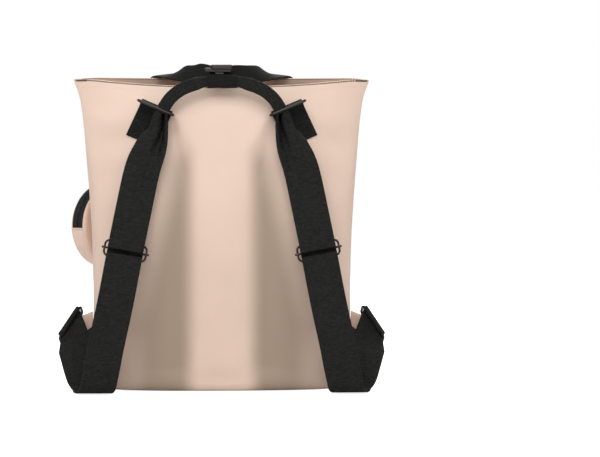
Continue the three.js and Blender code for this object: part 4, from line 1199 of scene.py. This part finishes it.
def turned(angles, profiles, poles):
    """A form turned round the pocket's axis, one profile an angle, closed at a pole on each side."""
    rows = np.array([[round_place(a, r, d) for r, d in profile] for a, profile in zip(angles, profiles)])
    total, size = rows.shape[:2]
    points = np.concatenate([rows.reshape(-1, 3), [round_place(0, 0, depth) for depth in poles]])
    faces = [tuple(face) for face in grid_faces(total, size, wrap_rows=True)]
    for i in range(total):
        after = (i + 1) % total
        faces.append((after * size, i * size, total * size))
        faces.append((i * size + size - 1, after * size + size - 1, total * size + 1))
    return points, faces


def round_body_profile(angle):
    """Radius and depth of the body's wall at an angle: welt, wall, lip and the inside of the lip."""
    wall = ROUND_RADIUS - POCKET_FABRIC
    edge = ROUND_RIM if ROUND_ZIP_END <= angle <= ROUND_ZIP_FAR_END else ROUND_FACE_START - GAP
    crease = -0.5 * math.sin(math.pi * 3 * angle / 180) if angle > ROUND_ZIP_FAR_END else 0
    welt = [(-3, 0), (-0.8, 0.35), (0.5, 1.2), (0.7, 2.2), (0.3, 3.2), (-1.4, 3.9), (0, 4.6)]
    steps = [(ROUND_RADIUS + out, deep) for out, deep in welt]
    between = [(ROUND_RADIUS + crease * math.sin(math.pi * t), mix(4.6, edge - 0.4, t))
               for t in np.linspace(0, 1, 9)[1:]]
    lip = [(ROUND_RADIUS - 0.4, edge - 0.05), (wall + 0.3, edge), (wall, edge - 0.3), (wall, POCKET_FABRIC)]
    return steps + between + lip


def build_round_body():
    upper = np.linspace(ROUND_ZIP_END, ROUND_ZIP_FAR_END, 61)
    lower = np.linspace(ROUND_ZIP_FAR_END + 0.4, 360 + ROUND_ZIP_END - 0.4, 66)
    angles = np.concatenate([upper, lower])
    parts = [turned(angles, [round_body_profile(a) for a in angles], (0, POCKET_FABRIC))]
    depths = np.linspace(ROUND_RIM - 1, ROUND_FACE_START + 0.5, 12)
    for angle in (ROUND_ZIP_END - 0.2, ROUND_ZIP_FAR_END + 0.2):
        parts.append(round_ended([round_place(angle, ROUND_RADIUS + 0.5, d) for d in depths], 0.9, 8))
    cloth_piece("cloth_round_body", "round_pocket_body", merge(parts))


def build_round_face():
    rim = [(-1.5, 0), (-0.3, 0.05), (0, 0.6), (-0.5, 1.5), (-1.4, 2.5), (-2.6, 3.3), (-3.8, 3.6), (-4.8, 3.4),
           (-5.8, 3.8)]
    profile = [(ROUND_RADIUS + out, ROUND_FACE_START + deep) for out, deep in rim]
    profile += [(ROUND_RADIUS * t, ROUND_DEPTH + 3.4 * (1 - t**2) + 0.2) for t in np.linspace(0.88, 0.05, 14)]
    full = np.linspace(0, 360, 120, endpoint=False)
    mesh = turned(full, [profile] * len(full), (ROUND_FACE_START, ROUND_DEPTH + 3.6))
    cloth_piece("cloth_round_face", "round_pocket_face", mesh)
    circle = [round_place(a, ROUND_RADIUS - 5.6, ROUND_DEPTH + 0.62) for a in np.linspace(0, 360, 200)]
    stitches = stitch_line(circle, np.tile(ROUND_FACING, (200, 1)), 3.2, 2.3, 0.34, lift=0.3)
    make_piece("round_face_stitches", *stitches, BEIGE_THREAD, SHELL_SLOT)


def on_round_zip(distance):
    """Point, along, across and out of the round zip at a distance along it."""
    angle = ROUND_ZIP_END + math.degrees(distance / ROUND_RADIUS)
    out = unit(round_place(angle, 1, 0) - round_place(angle, 0, 0))
    point = round_place(angle, ROUND_RADIUS + 0.5, ROUND_ZIP_MIDDLE)
    return point, np.cross(ROUND_FACING, out), ROUND_FACING, out


def build_round_zip():
    depths = np.linspace(ROUND_RIM + GAP, ROUND_FACE_START - GAP, 14)
    hump = 0.5 * np.sin(np.linspace(0, math.pi, 14))
    band = np.array([[round_place(a, ROUND_RADIUS - 0.5 + h, d) for d, h in zip(depths, hump)]
                     for a in np.linspace(ROUND_ZIP_END + 0.6, ROUND_ZIP_FAR_END - 0.6, 90)])
    sheet_piece("zip_tape_round", soft_sheet(band, 1.0), TAPE, ZIP_SLOT, ["round_pocket_zip"])
    arc = math.radians(ROUND_ZIP_FAR_END - ROUND_ZIP_END) * ROUND_RADIUS
    make_piece("zip_teeth_round", *zip_teeth(on_round_zip, arc), TEETH, ZIP_SLOT)


def build_round_slider():
    _, along, across, out = on_round_zip(math.radians(ROUND_SLIDER_ANGLE - ROUND_ZIP_END) * ROUND_RADIUS)
    base = round_place(ROUND_SLIDER_ANGLE, ROUND_RADIUS + GAP, ROUND_ZIP_MIDDLE)
    arch = [(-3.2, 1.2), (-2.4, 2.2), (0, 2.6), (2.4, 2.2), (3.2, 1.2)]
    bow = [base + along * a + out * h for a, h in arch]
    parts = [box_part(base + out * 0.9, (across, along, out), (3.5, 5, 0.9), 0.5),
             tube(curve_through(bow, 5), 0.7, 8)]
    make_piece("zip_slider_round", *merge(parts), METAL, METAL_SLOT, ["round_zip_slider"])


def build_round_pocket():
    build_round_body()
    build_round_face()
    build_round_zip()
    build_round_slider()


# Rings and their loops
def ring_frame(side):
    tilt = math.radians(RING_TILT_DEGREES)
    lean = math.radians(TAB_LEAN_DEGREES)
    long = np.array([side * math.cos(tilt), 0, math.sin(tilt)])
    flat = np.array([side * RING_ACROSS_SHARE * MOUTH_HALF_WIDTH, 0, RING_UP_SHARE * BAG_HEIGHT])
    places = [flat + long * share * RING_LONG for share in (-1, -0.5, 0, 0.5, 1)]
    cloth = min(float(np.interp(p[0], *plain_line(p[2]))) for p in places)
    bar = cloth - (RING_WIRE / 2 + RING_CLEARANCE + WEBBING_THICK + 0.5)
    down = np.array([side * math.sin(lean), 0, -math.cos(lean)])
    return np.array([flat[0], bar - RING_DEPTH / 2, flat[2]]), long, down


def plain_line(z):
    """x and y along the back at a height, without the finer folds."""
    row = cloth_row(-1, float(z), np.linspace(-1, 1, 2 * COLUMNS + 1), finer=False)
    return row[:, 0], row[:, 1]


def lower_ring_frame(side):
    long = unit([side * 0.492, -0.445, -0.749])
    short = unit([side * -0.092, 0.829, -0.552])
    strap_bar = np.array([side * 1.033 * MOUTH_HALF_WIDTH, -0.285 * BACK_DEPTH, 0.215 * BAG_HEIGHT])
    return long, unit(short - long * (short @ long)), strap_bar, strap_bar + short * LOWER_RING_DEPTH


def ring_piece(name, node, centre, u, v, a, b):
    path = rounded_rectangle(centre, u, v, a, b, RING_CORNER + 1.5, 8)
    wire = tube(path, RING_WIRE / 2, 14, closed=True, start=np.cross(u, v))
    make_piece(name, *wire, METAL, METAL_SLOT, [node])


# Corners of the anchor's stitches: shares of TAB_LENGTH down it and of its half width
ANCHOR_FRAME = [(0.95, -0.84), (0.95, 0.84), (0.5, 0.84), (0.5, -0.84), (0.95, -0.84)]
ANCHOR_CROSS = [(0.5, 0.84), (0.95, -0.84), (0.95, 0.84), (0.5, -0.84)]


def build_upper_rings(side, label):
    centre, long, down = ring_frame(side)
    out = np.array([0, 1.0, 0])
    ring_piece(f"ring_upper_{label}", f"upper_ring_{label}", centre, long, out, RING_LONG, RING_DEPTH / 2)
    bar = centre + out * RING_DEPTH / 2

    def on_back(share, half, lift):
        flat = bar + down * share * TAB_LENGTH + long * half * TAB_WIDTH / 2
        return flat[0], cloth_y(-1, flat[0], flat[2]) - lift, flat[2]

    shares = edge_shares(TAB_WIDTH / 2, WEBBING_THICK, 14)
    middle = GAP + WEBBING_THICK / 2 + 0.1
    rows = np.array([[on_back(share, half, middle) for half in shares] for share in np.linspace(1, 0.22, 26)])
    loop = np.array([[bar + long * half * TAB_WIDTH / 2 + offset for half in shares]
                     for offset in loop_round(-down, out, loop_radius(WEBBING_THICK))])
    sheet = soft_sheet(np.concatenate([rows, loop]), WEBBING_THICK)
    sheet_piece(f"webbing_anchor_{label}", sheet, WEBBING, WEBBING_SLOT, [f"anchor_tab_{label}"])
    lines = []
    for corners in (ANCHOR_FRAME, ANCHOR_CROSS):
        path = [on_back(mix(s0, s1, t), mix(h0, h1, t), GAP + WEBBING_THICK + 0.1)
                for (s0, h0), (s1, h1) in zip(corners, corners[1:])
                for t in np.linspace(0, 1, 16, endpoint=False)]
        lines.append(stitch_line(path, np.tile([0, -1.0, 0], (len(path), 1)), 2.6, 1.9, 0.3, lift=0.1))
    make_piece(f"anchor_stitches_{label}", *merge(lines), BLACK_THREAD, WEBBING_SLOT)


def build_lower_ring(side, label):
    long, short, strap_bar, tab_bar = lower_ring_frame(side)
    centre = (strap_bar + tab_bar) / 2
    half_long = STRAP_WIDTH / 2 + 1.2 + RING_WIRE / 2
    half_short = LOWER_RING_DEPTH / 2
    ring_piece(f"ring_lower_{label}", f"lower_ring_{label}", centre, long, short, half_long, half_short)
    high, low = SIDE_TAB_TOP_SHARE * BAG_HEIGHT, SIDE_TAB_LOW_SHARE * BAG_HEIGHT
    seam_top = np.array([side * (section(high)[0] + 0.8), 0, high])
    seam_low = np.array([side * (section(low)[0] + 0.8), 0, low])
    straight = tab_bar - (seam_top + seam_low) / 2
    ahead = unit(straight - long * (straight @ long))
    over = unit(np.cross(long, ahead)) * side
    across = np.linspace(0, 1, 24)
    places = [long * mix(-SIDE_TAB_HALF_WIDTH, SIDE_TAB_HALF_WIDTH, t) for t in across]
    loop = np.array([[tab_bar + offset + place for place in places]
                     for offset in loop_round(ahead, over, loop_radius(FABRIC))])
    seam = np.array([mix(seam_top, seam_low, t) for t in across])
    between = np.array([mix(seam, loop[0], share) for share in np.linspace(0, 0.96, 14)])
    pull = np.outer(np.sin(np.linspace(0, math.pi, 14)), np.sin(np.linspace(0, 3 * math.pi, 24)))[..., None]
    between = between + pull * 0.5 * over
    points, faces, cloth = soft_sheet(np.concatenate([between, loop]), FABRIC)
    # The cloth material paints shade by the third number; none on the side tab
    cloth[:, 2] = 0
    sheet_piece(f"cloth_side_tab_{label}", (points, faces, cloth), CLOTH, SHELL_SLOT, [f"side_tab_{label}"])


# Shoulder straps: x, y, z as shares of MOUTH_HALF_WIDTH, BACK_DEPTH and BAG_HEIGHT, the direction
# across the strap, and how far it is bunched into a pleat
STRAP_STATIONS = np.array([
    (0.41, -0.77, 0.8885, -0.92, 0, 0.39, 3.2),
    (0.419, -0.815, 0.865, -0.93, 0, 0.37, 2.0),
    (0.436, -0.93, 0.827, -0.95, 0, 0.3, 1.4),
    (0.48, -1.01, 0.767, -0.965, 0, 0.26, 0.6),
    (0.53, -1.07, 0.7, -0.975, 0.03, 0.22, 0.2),
    (0.587, -1.157, 0.574, -0.98, 0.05, 0.19, 0),
    (0.641, -1.229, 0.446, -0.98, 0.05, 0.19, 0),
    (0.704, -1.286, 0.29, -0.98, 0.05, 0.19, 0),
    (0.766, -1.329, 0.154, -0.98, 0.05, 0.17, 0),
    (0.807, -1.357, 0.052, -1, 0, 0.03, 0),
    (0.826, -1.314, 0.0165, -1, 0, 0, 0),
    (0.859, -1.2, 0.0088, -1, 0, 0, 0),
    (0.891, -1.043, 0.0175, -1, 0, 0, 0),
    (0.929, -0.9, 0.06, -0.97, 0.1, 0.2, 0),
    (0.984, -0.614, 0.135, -0.85, 0.28, 0.45, 0),
])


def pleat(shares, bunch):
    """Places across and outwards of a strap that is bunched into one pleat, in half widths of the strap."""
    fine = np.linspace(-1, 1, 401)
    rolled = 0.75 * smooth((-0.2 - fine) / 0.6)
    folded = bell(fine, 0.66, 0.2) - bell(fine, 0.16, 0.2)
    turn = np.clip(bunch * (rolled + folded), -1.45, 1.45)
    step = fine[1] - fine[0]
    over = np.cumsum(np.cos(turn)) * step
    out = np.cumsum(np.sin(turn)) * step
    over = over - (over[0] + over[-1]) / 2
    out = out - out.max()
    return np.interp(shares, fine, over), np.interp(shares, fine, out)


def bunched(station, ahead, shares):
    """One row of points across the strap, and the direction away from the bag."""
    middle, rough, bunch = station[:3], station[3:6], max(float(station[6]), 0)
    square = smooth((middle[2] - 8) / 40)
    across = unit(rough - ahead * (rough @ ahead) * square)
    upright = np.cross(ahead, across)
    normal = upright if upright[1] < 0 else -upright
    over, out = pleat(shares, bunch)
    return middle + (across * over[:, None] + normal * out[:, None]) * STRAP_WIDTH / 2, normal


def scaled(stations, depth, side=1):
    stations = np.array(stations, float)
    stations[:, 0] *= side * MOUTH_HALF_WIDTH
    stations[:, 1] *= depth
    stations[:, 2] *= BAG_HEIGHT
    stations[:, 3] *= side
    return stations


def finer_near(line, height, reach=5, step=0.2):
    """The same line with points added close together where it first comes down to a height."""
    index = np.arange(len(line))
    slot = int(np.argmax(line[:, 2] < height))
    wanted = np.union1d(index, slot + np.arange(-reach, reach, step))
    return np.stack([np.interp(wanted, index, line[:, k]) for k in range(line.shape[1])], -1)


def headings(line):
    return unit(np.gradient(line[:, :3], axis=0))


def build_strap(side, label):
    long, short, strap_bar, _ = lower_ring_frame(side)
    line = finer_near(curve_through(scaled(STRAP_STATIONS, BACK_DEPTH, side), 14), SLOT_HEIGHT * BAG_HEIGHT)
    ahead = headings(line)
    shares = edge_shares(STRAP_WIDTH / 2, STRAP_THICK, 40)
    rows, normals = zip(*(bunched(s, a, shares) for s, a in zip(line, ahead)))
    rows, normals = np.array(rows), np.array(normals)
    run = distance_along(line[:, :3])
    slot = int(np.argmax(line[:, 2] < SLOT_HEIGHT * BAG_HEIGHT))
    past = run - run[slot]

    apart = STRAP_THICK / 2 + 0.08
    lower = smooth((past + 2) / 5)
    near_slot = np.exp(-(((past - SLOT_WIDE / 2) / (0.62 * SLOT_WIDE)) ** 6))
    inner_offset = -apart * lower * smooth((run[-1] - run) / 12 + 0.15) - (SLOT_DEEP - apart) * near_slot
    wavy = 0.5 * waves(run / 30, run * 0, 5 + side) * smooth(run / 40)
    inner = rows + normals[:, None] * (inner_offset + wavy * 0.4)[:, None, None]
    lowest = run[int(np.argmin(line[:, 2]))]
    inner[:, :, 0] -= side * TWIN_ASIDE * smooth((run - lowest) / 40)[:, None]

    end = line[-1, :3]
    straight = strap_bar - end
    toward = unit(straight - long * (straight @ long))
    over = unit(np.cross(long, toward))
    outside = -over if over @ short < 0 else over
    loop = np.array([[strap_bar + offset + long * (-share * STRAP_WIDTH / 2) for share in shares]
                     for offset in loop_round(toward, outside, loop_radius(STRAP_THICK))])
    near_ring = loop[0] + np.array([-side * TWIN_ASIDE, 2 * STRAP_THICK, 0])
    onward = [mix(inner[-1], near_ring, share) for share in np.linspace(0.1, 0.52, 6)]
    after = past > SLOT_WIDE
    top = rows[after]
    rise = apart + 0.7 * np.exp(-(((past[after] - SLOT_WIDE) / 5) ** 2))
    rise = rise * smooth((run[-1] - run[after]) / 12 + 0.1)
    outer = top + normals[after][:, None] * (rise + wavy[after] * 0.4)[:, None, None]
    layers = [soft_sheet(np.concatenate(grids), STRAP_THICK) for grids in ((inner, onward), (outer, loop))]
    sheet = (*merge([layer[:2] for layer in layers]), np.concatenate([layer[2] for layer in layers]))
    sheet_piece(f"leather_strap_{label}", sheet, LEATHER, STRAP_SLOT, [f"shoulder_strap_{label}"])
    build_slider(label, line[slot], ahead[slot])


def build_slider(label, station, down):
    """The slider at a station of the strap: a frame, a bar that dips towards the bag, and two knobs."""
    rough = station[3:6]
    across = unit(rough - down * (rough @ down))
    normal = np.cross(down, across)
    to_bag = normal if normal[1] > 0 else -normal
    centre = station[:3] + to_bag * (0.75 * STRAP_THICK + SLIDER_WIRE / 2 + GAP)
    half_long = SLIDER_LONG / 2 - SLIDER_WIRE / 2 - 0.4
    half_tall = SLIDER_TALL / 2 - SLIDER_WIRE / 2
    frame_path = rounded_rectangle(centre, across, down, half_long, half_tall, 5.5, 10)
    bar = [centre + across * half_long * t + to_bag * (SLOT_DEEP - 1) * smooth((1 - abs(t)) / 0.18)
           for t in np.linspace(-1, 1, 41)]
    parts = [tube(frame_path, SLIDER_WIRE * 0.45, 14, closed=True, start=to_bag), round_ended(bar, 1.35, 12)]
    for s in (-1, 1):
        knob = [centre + across * s * (half_long + t) for t in (-1.2, 0, 2.2)]
        parts.append(round_ended(knob, 1.5, 12))
    make_piece(f"slider_strap_{label}", *merge(parts), METAL, METAL_SLOT, [f"strap_slider_{label}"])


# Carry handle, from the wearer's right to the middle: shares of MOUTH_HALF_WIDTH, BACK_DEPTH and BAG_HEIGHT,
# and the direction across it
ARCH_STATIONS = [
    (-0.402, -0.76, 0.884, -0.8, 0, 0.55),
    (-0.383, -0.785, 0.902, -0.8, 0, 0.55),
    (-0.344, -0.8, 0.928, -0.7, 0, 0.7),
    (-0.29, -0.78, 0.95, -0.5, 0, 0.87),
    (-0.222, -0.75, 0.966, -0.3, 0, 0.95),
    (-0.112, -0.705, 0.981, 0, 0, 1),
    (0, -0.693, 0.982, 0, 0, 1),
]


def ribbon(stations, shape_at):
    """A strip along stations, with the section that shape_at(station) gives."""
    ahead = headings(stations)
    rings = []
    for station, direction in zip(stations, ahead):
        rough = station[3:6]
        across = unit(rough - direction * (rough @ direction))
        normal = np.cross(direction, across)
        shape = np.array(shape_at(station))
        rings.append(station[:3] + across * shape[:, :1] + normal * shape[:, 1:])
    rings = np.array(rings)
    run = distance_along(stations[:, :3])
    around = distance_along(rings[len(rings) // 2])
    return *rod_mesh(rings), sheet_values(around, run[:, None], 0, rings.shape[:2])


def mirrored(stations):
    stations = np.asarray(stations, float)
    other = stations[:-1][::-1] * np.array([-1, 1, 1, -1, 1, 1])
    return np.concatenate([stations, other])


def gathered(x, full, free):
    return smooth((free - abs(x)) / (free - full))


def oval(half, thick, sides=28, square=2.8, groove=0.0):
    """A flattened round section. groove draws its two faces in along their middle, as a fold does."""
    turn = np.linspace(0, 2 * math.pi, sides, endpoint=False)
    c, s = np.cos(turn), np.sin(turn)
    p = half * np.sign(c) * np.abs(c) ** (2 / square)
    q = thick * np.sign(s) * np.abs(s) ** (2 / square)
    q = q * (1 - groove * np.exp(-(((p / half) - 0.35) / 0.16) ** 2))
    return np.stack([p, q], -1)


def build_carry_handle():
    half = scaled(ARCH_STATIONS, BACK_DEPTH)
    stations = curve_through(mirrored(half), 12)

    def shape(station):
        squeeze = 1 - KEEPER_SQUEEZE * gathered(station[0], KEEPER_LONG / 2 + 1, KEEPER_LONG / 2 + 14)
        return oval(ARCH_WIDE / 2 * squeeze, ARCH_THICK / 2, groove=0.22)

    sheet_piece("leather_carry_handle", ribbon(stations, shape), LEATHER, STRAP_SLOT, ["carry_handle"])
    return build_keeper(*half[-1][1:3])


def build_keeper(y, z):
    """The webbing tube round the middle of the carry handle. Gives its y and the height of its top."""
    half_tall = ARCH_WIDE / 2 * (1 - KEEPER_SQUEEZE) + KEEPER_CLEARANCE + KEEPER_WALL
    half_deep = ARCH_THICK / 2 + KEEPER_CLEARANCE + KEEPER_WALL
    places = np.linspace(-KEEPER_LONG / 2, KEEPER_LONG / 2, 22)
    outer, inner = [], []
    for x in places:
        sag = 0.25 * math.sin(x / 3.1)
        for rows, shrink in ((outer, 0), (inner, KEEPER_WALL)):
            section_points = oval(half_tall - shrink + sag, half_deep - shrink, 32, 3.2)
            rows.append([(x, y + q, z + p) for p, q in section_points])
    outer, inner = np.array(outer), np.array(inner)
    rows = np.concatenate([outer, inner[::-1]])
    faces = grid_faces(len(rows), 32, wrap_rows=True, wrap_columns=True)
    around = np.linspace(0, 2 * (half_tall + half_deep) * 1.7, 32)
    cloth = sheet_values(np.concatenate([places, places[::-1]])[:, None], around, 0, rows.shape[:2])
    make_piece("webbing_keeper", rows, faces, WEBBING, WEBBING_SLOT, ["handle_keeper"], cloth=cloth)
    return y, z + half_tall


def rounded_bar(centre, half_long, tall, deep):
    """A bar along x with soft edges and ends."""
    centre = np.asarray(centre, float)
    ends = [(half_long, 0.35), (half_long - 0.25, 0.7), (half_long - 0.8, 0.92), (half_long - 1.8, 1)]
    profile = [(-x, share) for x, share in ends] + ends[::-1]
    rings = [[centre + (x, q, p) for p, q in oval(tall * share, deep * share, 28, 4)] for x, share in profile]
    return rod_mesh(np.array(rings))


def build_hook(keeper_y, keeper_top):
    """The hook, its ring and the webbing behind it. Gives the y and height of the front handle there."""
    y = keeper_y + 2.5
    z = keeper_top + 7.2
    x_axis, y_axis, z_axis = np.eye(3)
    plates = [rounded_bar((-0.2, y - 1.2, z + 2.2), 13.3, 3.1, 2.3),
              rounded_bar((-4.8, y + 0.8, z - 1.4), 16.8, 2.9, 2.1)]
    arms = [box_part((HOOK_MIDDLE + x, y + 5.5, z - 1), (x_axis, z_axis, y_axis), (1.5, 1.5, 4.5), 0.5)
            for x in (-9, 9)]
    bar = tube([(HOOK_MIDDLE + x, y + 8.5, z - 1) for x in (-9, 9)], 1.4, 14)
    foot_low, foot_high = keeper_top + 0.4 - z, -4
    foot = box_part((HOOK_MIDDLE, y - 0.25, z + (foot_low + foot_high) / 2), (x_axis, y_axis, z_axis),
                    (5, 1.75, (foot_high - foot_low) / 2), 0.4)
    lip = tube([(HOOK_MIDDLE + x, y - 1.6, z - 3.2) for x in np.linspace(-9, 9, 14)], 0.8, 10)
    rivet = round_ended([(-6.5, y - out, z - 3.4) for out in (1.5, 2.9)], 1.2, 14)
    parts = [*plates, *arms, bar, foot, lip, rivet]
    make_piece("hook_plate", *merge(parts), METAL, METAL_SLOT, ["hook_buckle"])
    path = rounded_rectangle((HOOK_MIDDLE, y + 11.4, z - 1), (0, 1, 0), (0, 0, 1), 6.7, 5.6, 3.5, 8)
    ring = tube(path, 1, 12, closed=True, start=(1, 0, 0))
    make_piece("hook_ring_wire", *ring, METAL, METAL_SLOT, ["hook_ring"])
    heights = np.linspace(keeper_top - 5, z, 10)
    tab = np.array([[(x, y + 3.4, height) for x in np.linspace(-15, 11, 24)] for height in heights])
    sheet_piece("webbing_hook_tab", soft_sheet(tab, 1.4), WEBBING, WEBBING_SLOT)
    return y + 14.2, z - 1


# Front handle, from above its seams to beside the hook: shares of MOUTH_HALF_WIDTH, FRONT_DEPTH and
# BAG_HEIGHT, and the direction across it
HANDLE_STATIONS = [
    (-0.465, 0.795, 0.928, 1, 0.1, 0.05),
    (-0.455, 0.7, 0.982, 1, 0.1, 0.05),
    (-0.415, 0.5, 1.009, 0.95, 0.3, 0.1),
    (-0.36, 0.2, 1.009, 0.8, 0.55, 0.25),
    (-0.27, -0.05, 1.0125, 0.25, 0.6, 0.75),
    (-0.185, -0.21, 1.008, 0.05, 0.3, 0.95),
]


def build_front_handle(ring_y, ring_z):
    x = HANDLE_STATIONS[0][0] * MOUTH_HALF_WIDTH
    seams = []
    for z in (YOKE_SEAM + 1, YOKE_SEAM + 9, YOKE_SEAM + 19):
        inner, outer = cloth_y(1, x + 10, z), cloth_y(1, x - 10, z)
        across = unit((20, inner - outer, 0))
        seams.append((x, cloth_y(1, x, z) + WEBBING_THICK / 2 + 0.85, z, *across))
    middle = [(-14, ring_y - 0.5, ring_z, 0, 0.1, 1), (HOOK_MIDDLE, ring_y, ring_z, 0, 0, 1)]
    half = np.array([*seams, *scaled(HANDLE_STATIONS, FRONT_DEPTH), *middle])
    stations = curve_through(mirrored(half), 12)

    def shape(station):
        free = 26 if station[0] < 0 else 44
        wide = HANDLE_WIDTH / 2 * (1 - 0.66 * gathered(station[0] - HOOK_MIDDLE, 3, free))
        return oval(wide, WEBBING_THICK / 2, 32, 6)

    sheet_piece("webbing_front_handle", ribbon(stations, shape), WEBBING, WEBBING_SLOT, ["front_handle"])


# Floor, lights and camera
WORLD_STRENGTH = 0.28
FLOOR_GLOW = 0.78
LIGHTS = [
    ("key", (-0.15, -1.0, 1.5), (0, 0, 0.32), (2.4, 1.4), 18.5, (1, 0.99, 0.975)),
    ("camera_side", (0.1, -2.3, 0.75), (0, 0, 0.3), (2.0, 1.4), 10, (1, 0.99, 0.98)),
    ("spark", (-0.5, -1.5, 1.5), (0, 0, 0.3), (0.35, 0.12), 3, (1, 1, 1)),
    ("front", (0.4, 1.35, 1.5), (0, 0, 0.22), (1.8, 1.2), 17, (1, 0.99, 0.975)),
    ("front_low", (-0.3, 2.2, 0.8), (0, 0, 0.22), (1.6, 1.2), 12, (1, 0.99, 0.98)),
    ("side_left", (1.7, 0.2, 0.9), (0, 0, 0.2), (0.8, 1.0), 5, (1, 1, 1)),
    ("side_right", (-1.7, 0.2, 0.9), (0, 0, 0.2), (0.8, 1.0), 5, (1, 1, 1)),
]


def for_camera(nodes, links, elsewhere, seen):
    """A strength that differs between what the camera sees and the light that falls on things."""
    rays = nodes.new("ShaderNodeLightPath")
    strength = nodes.new("ShaderNodeMapRange")
    strength.inputs["To Min"].default_value = elsewhere
    strength.inputs["To Max"].default_value = seen
    links.new(rays.outputs["Is Camera Ray"], strength.inputs["Value"])
    return strength.outputs["Result"]


def build_stage():
    bpy.ops.mesh.primitive_plane_add(size=60, location=(0, 0, -0.0004))
    floor = bpy.context.object
    floor.name = "floor"
    material, nodes, links, shader = new_material("pale_floor", (0.86, 0.86, 0.86), 0.9, specular=0.1)
    shader.inputs["Emission Color"].default_value = (1, 1, 1, 1)
    links.new(for_camera(nodes, links, 0, FLOOR_GLOW), shader.inputs["Emission Strength"])
    floor.data.materials.append(material)

    world = bpy.data.worlds.new("studio")
    bpy.context.scene.world = world
    world.use_nodes = True
    nodes, links = world.node_tree.nodes, world.node_tree.links
    background = nodes["Background"]
    background.inputs["Color"].default_value = (1, 1, 1, 1)
    links.new(for_camera(nodes, links, WORLD_STRENGTH, 1), background.inputs["Strength"])
    for name, place, target, size, power, color in LIGHTS:
        light = bpy.data.lights.new(name, "AREA")
        light.shape = "RECTANGLE"
        light.size, light.size_y = size
        light.energy = power
        light.color = color
        lamp = bpy.data.objects.new(name, light)
        lamp.location = place
        lamp.rotation_euler = (Vector(target) - Vector(place)).to_track_quat("-Z", "Y").to_euler()
        bpy.context.scene.collection.objects.link(lamp)


CAMERA_PLACE = (0, -2.494, 0.28)
CAMERA_TARGET = (0.0985, 0.006, 0.1996)
CAMERA_LENS = 118.8


def build_camera():
    camera = bpy.data.cameras.new("camera")
    camera.lens = CAMERA_LENS
    camera.sensor_width = 36
    eye = bpy.data.objects.new("camera", camera)
    eye.location = CAMERA_PLACE
    eye.rotation_euler = (Vector(CAMERA_TARGET) - Vector(CAMERA_PLACE)).to_track_quat("-Z", "Y").to_euler()
    bpy.context.scene.collection.objects.link(eye)
    bpy.context.scene.camera = eye


build_camera()
build_stage()
build_bag()
build_front_zip()
build_flap_pocket()
build_round_pocket()
build_front_handle(*build_hook(*build_carry_handle()))
for side, label in ((1, "left"), (-1, "right")):
    build_upper_rings(side, label)
    build_lower_ring(side, label)
    build_strap(side, label)

bpy.context.scene.view_settings.view_transform = "Standard"
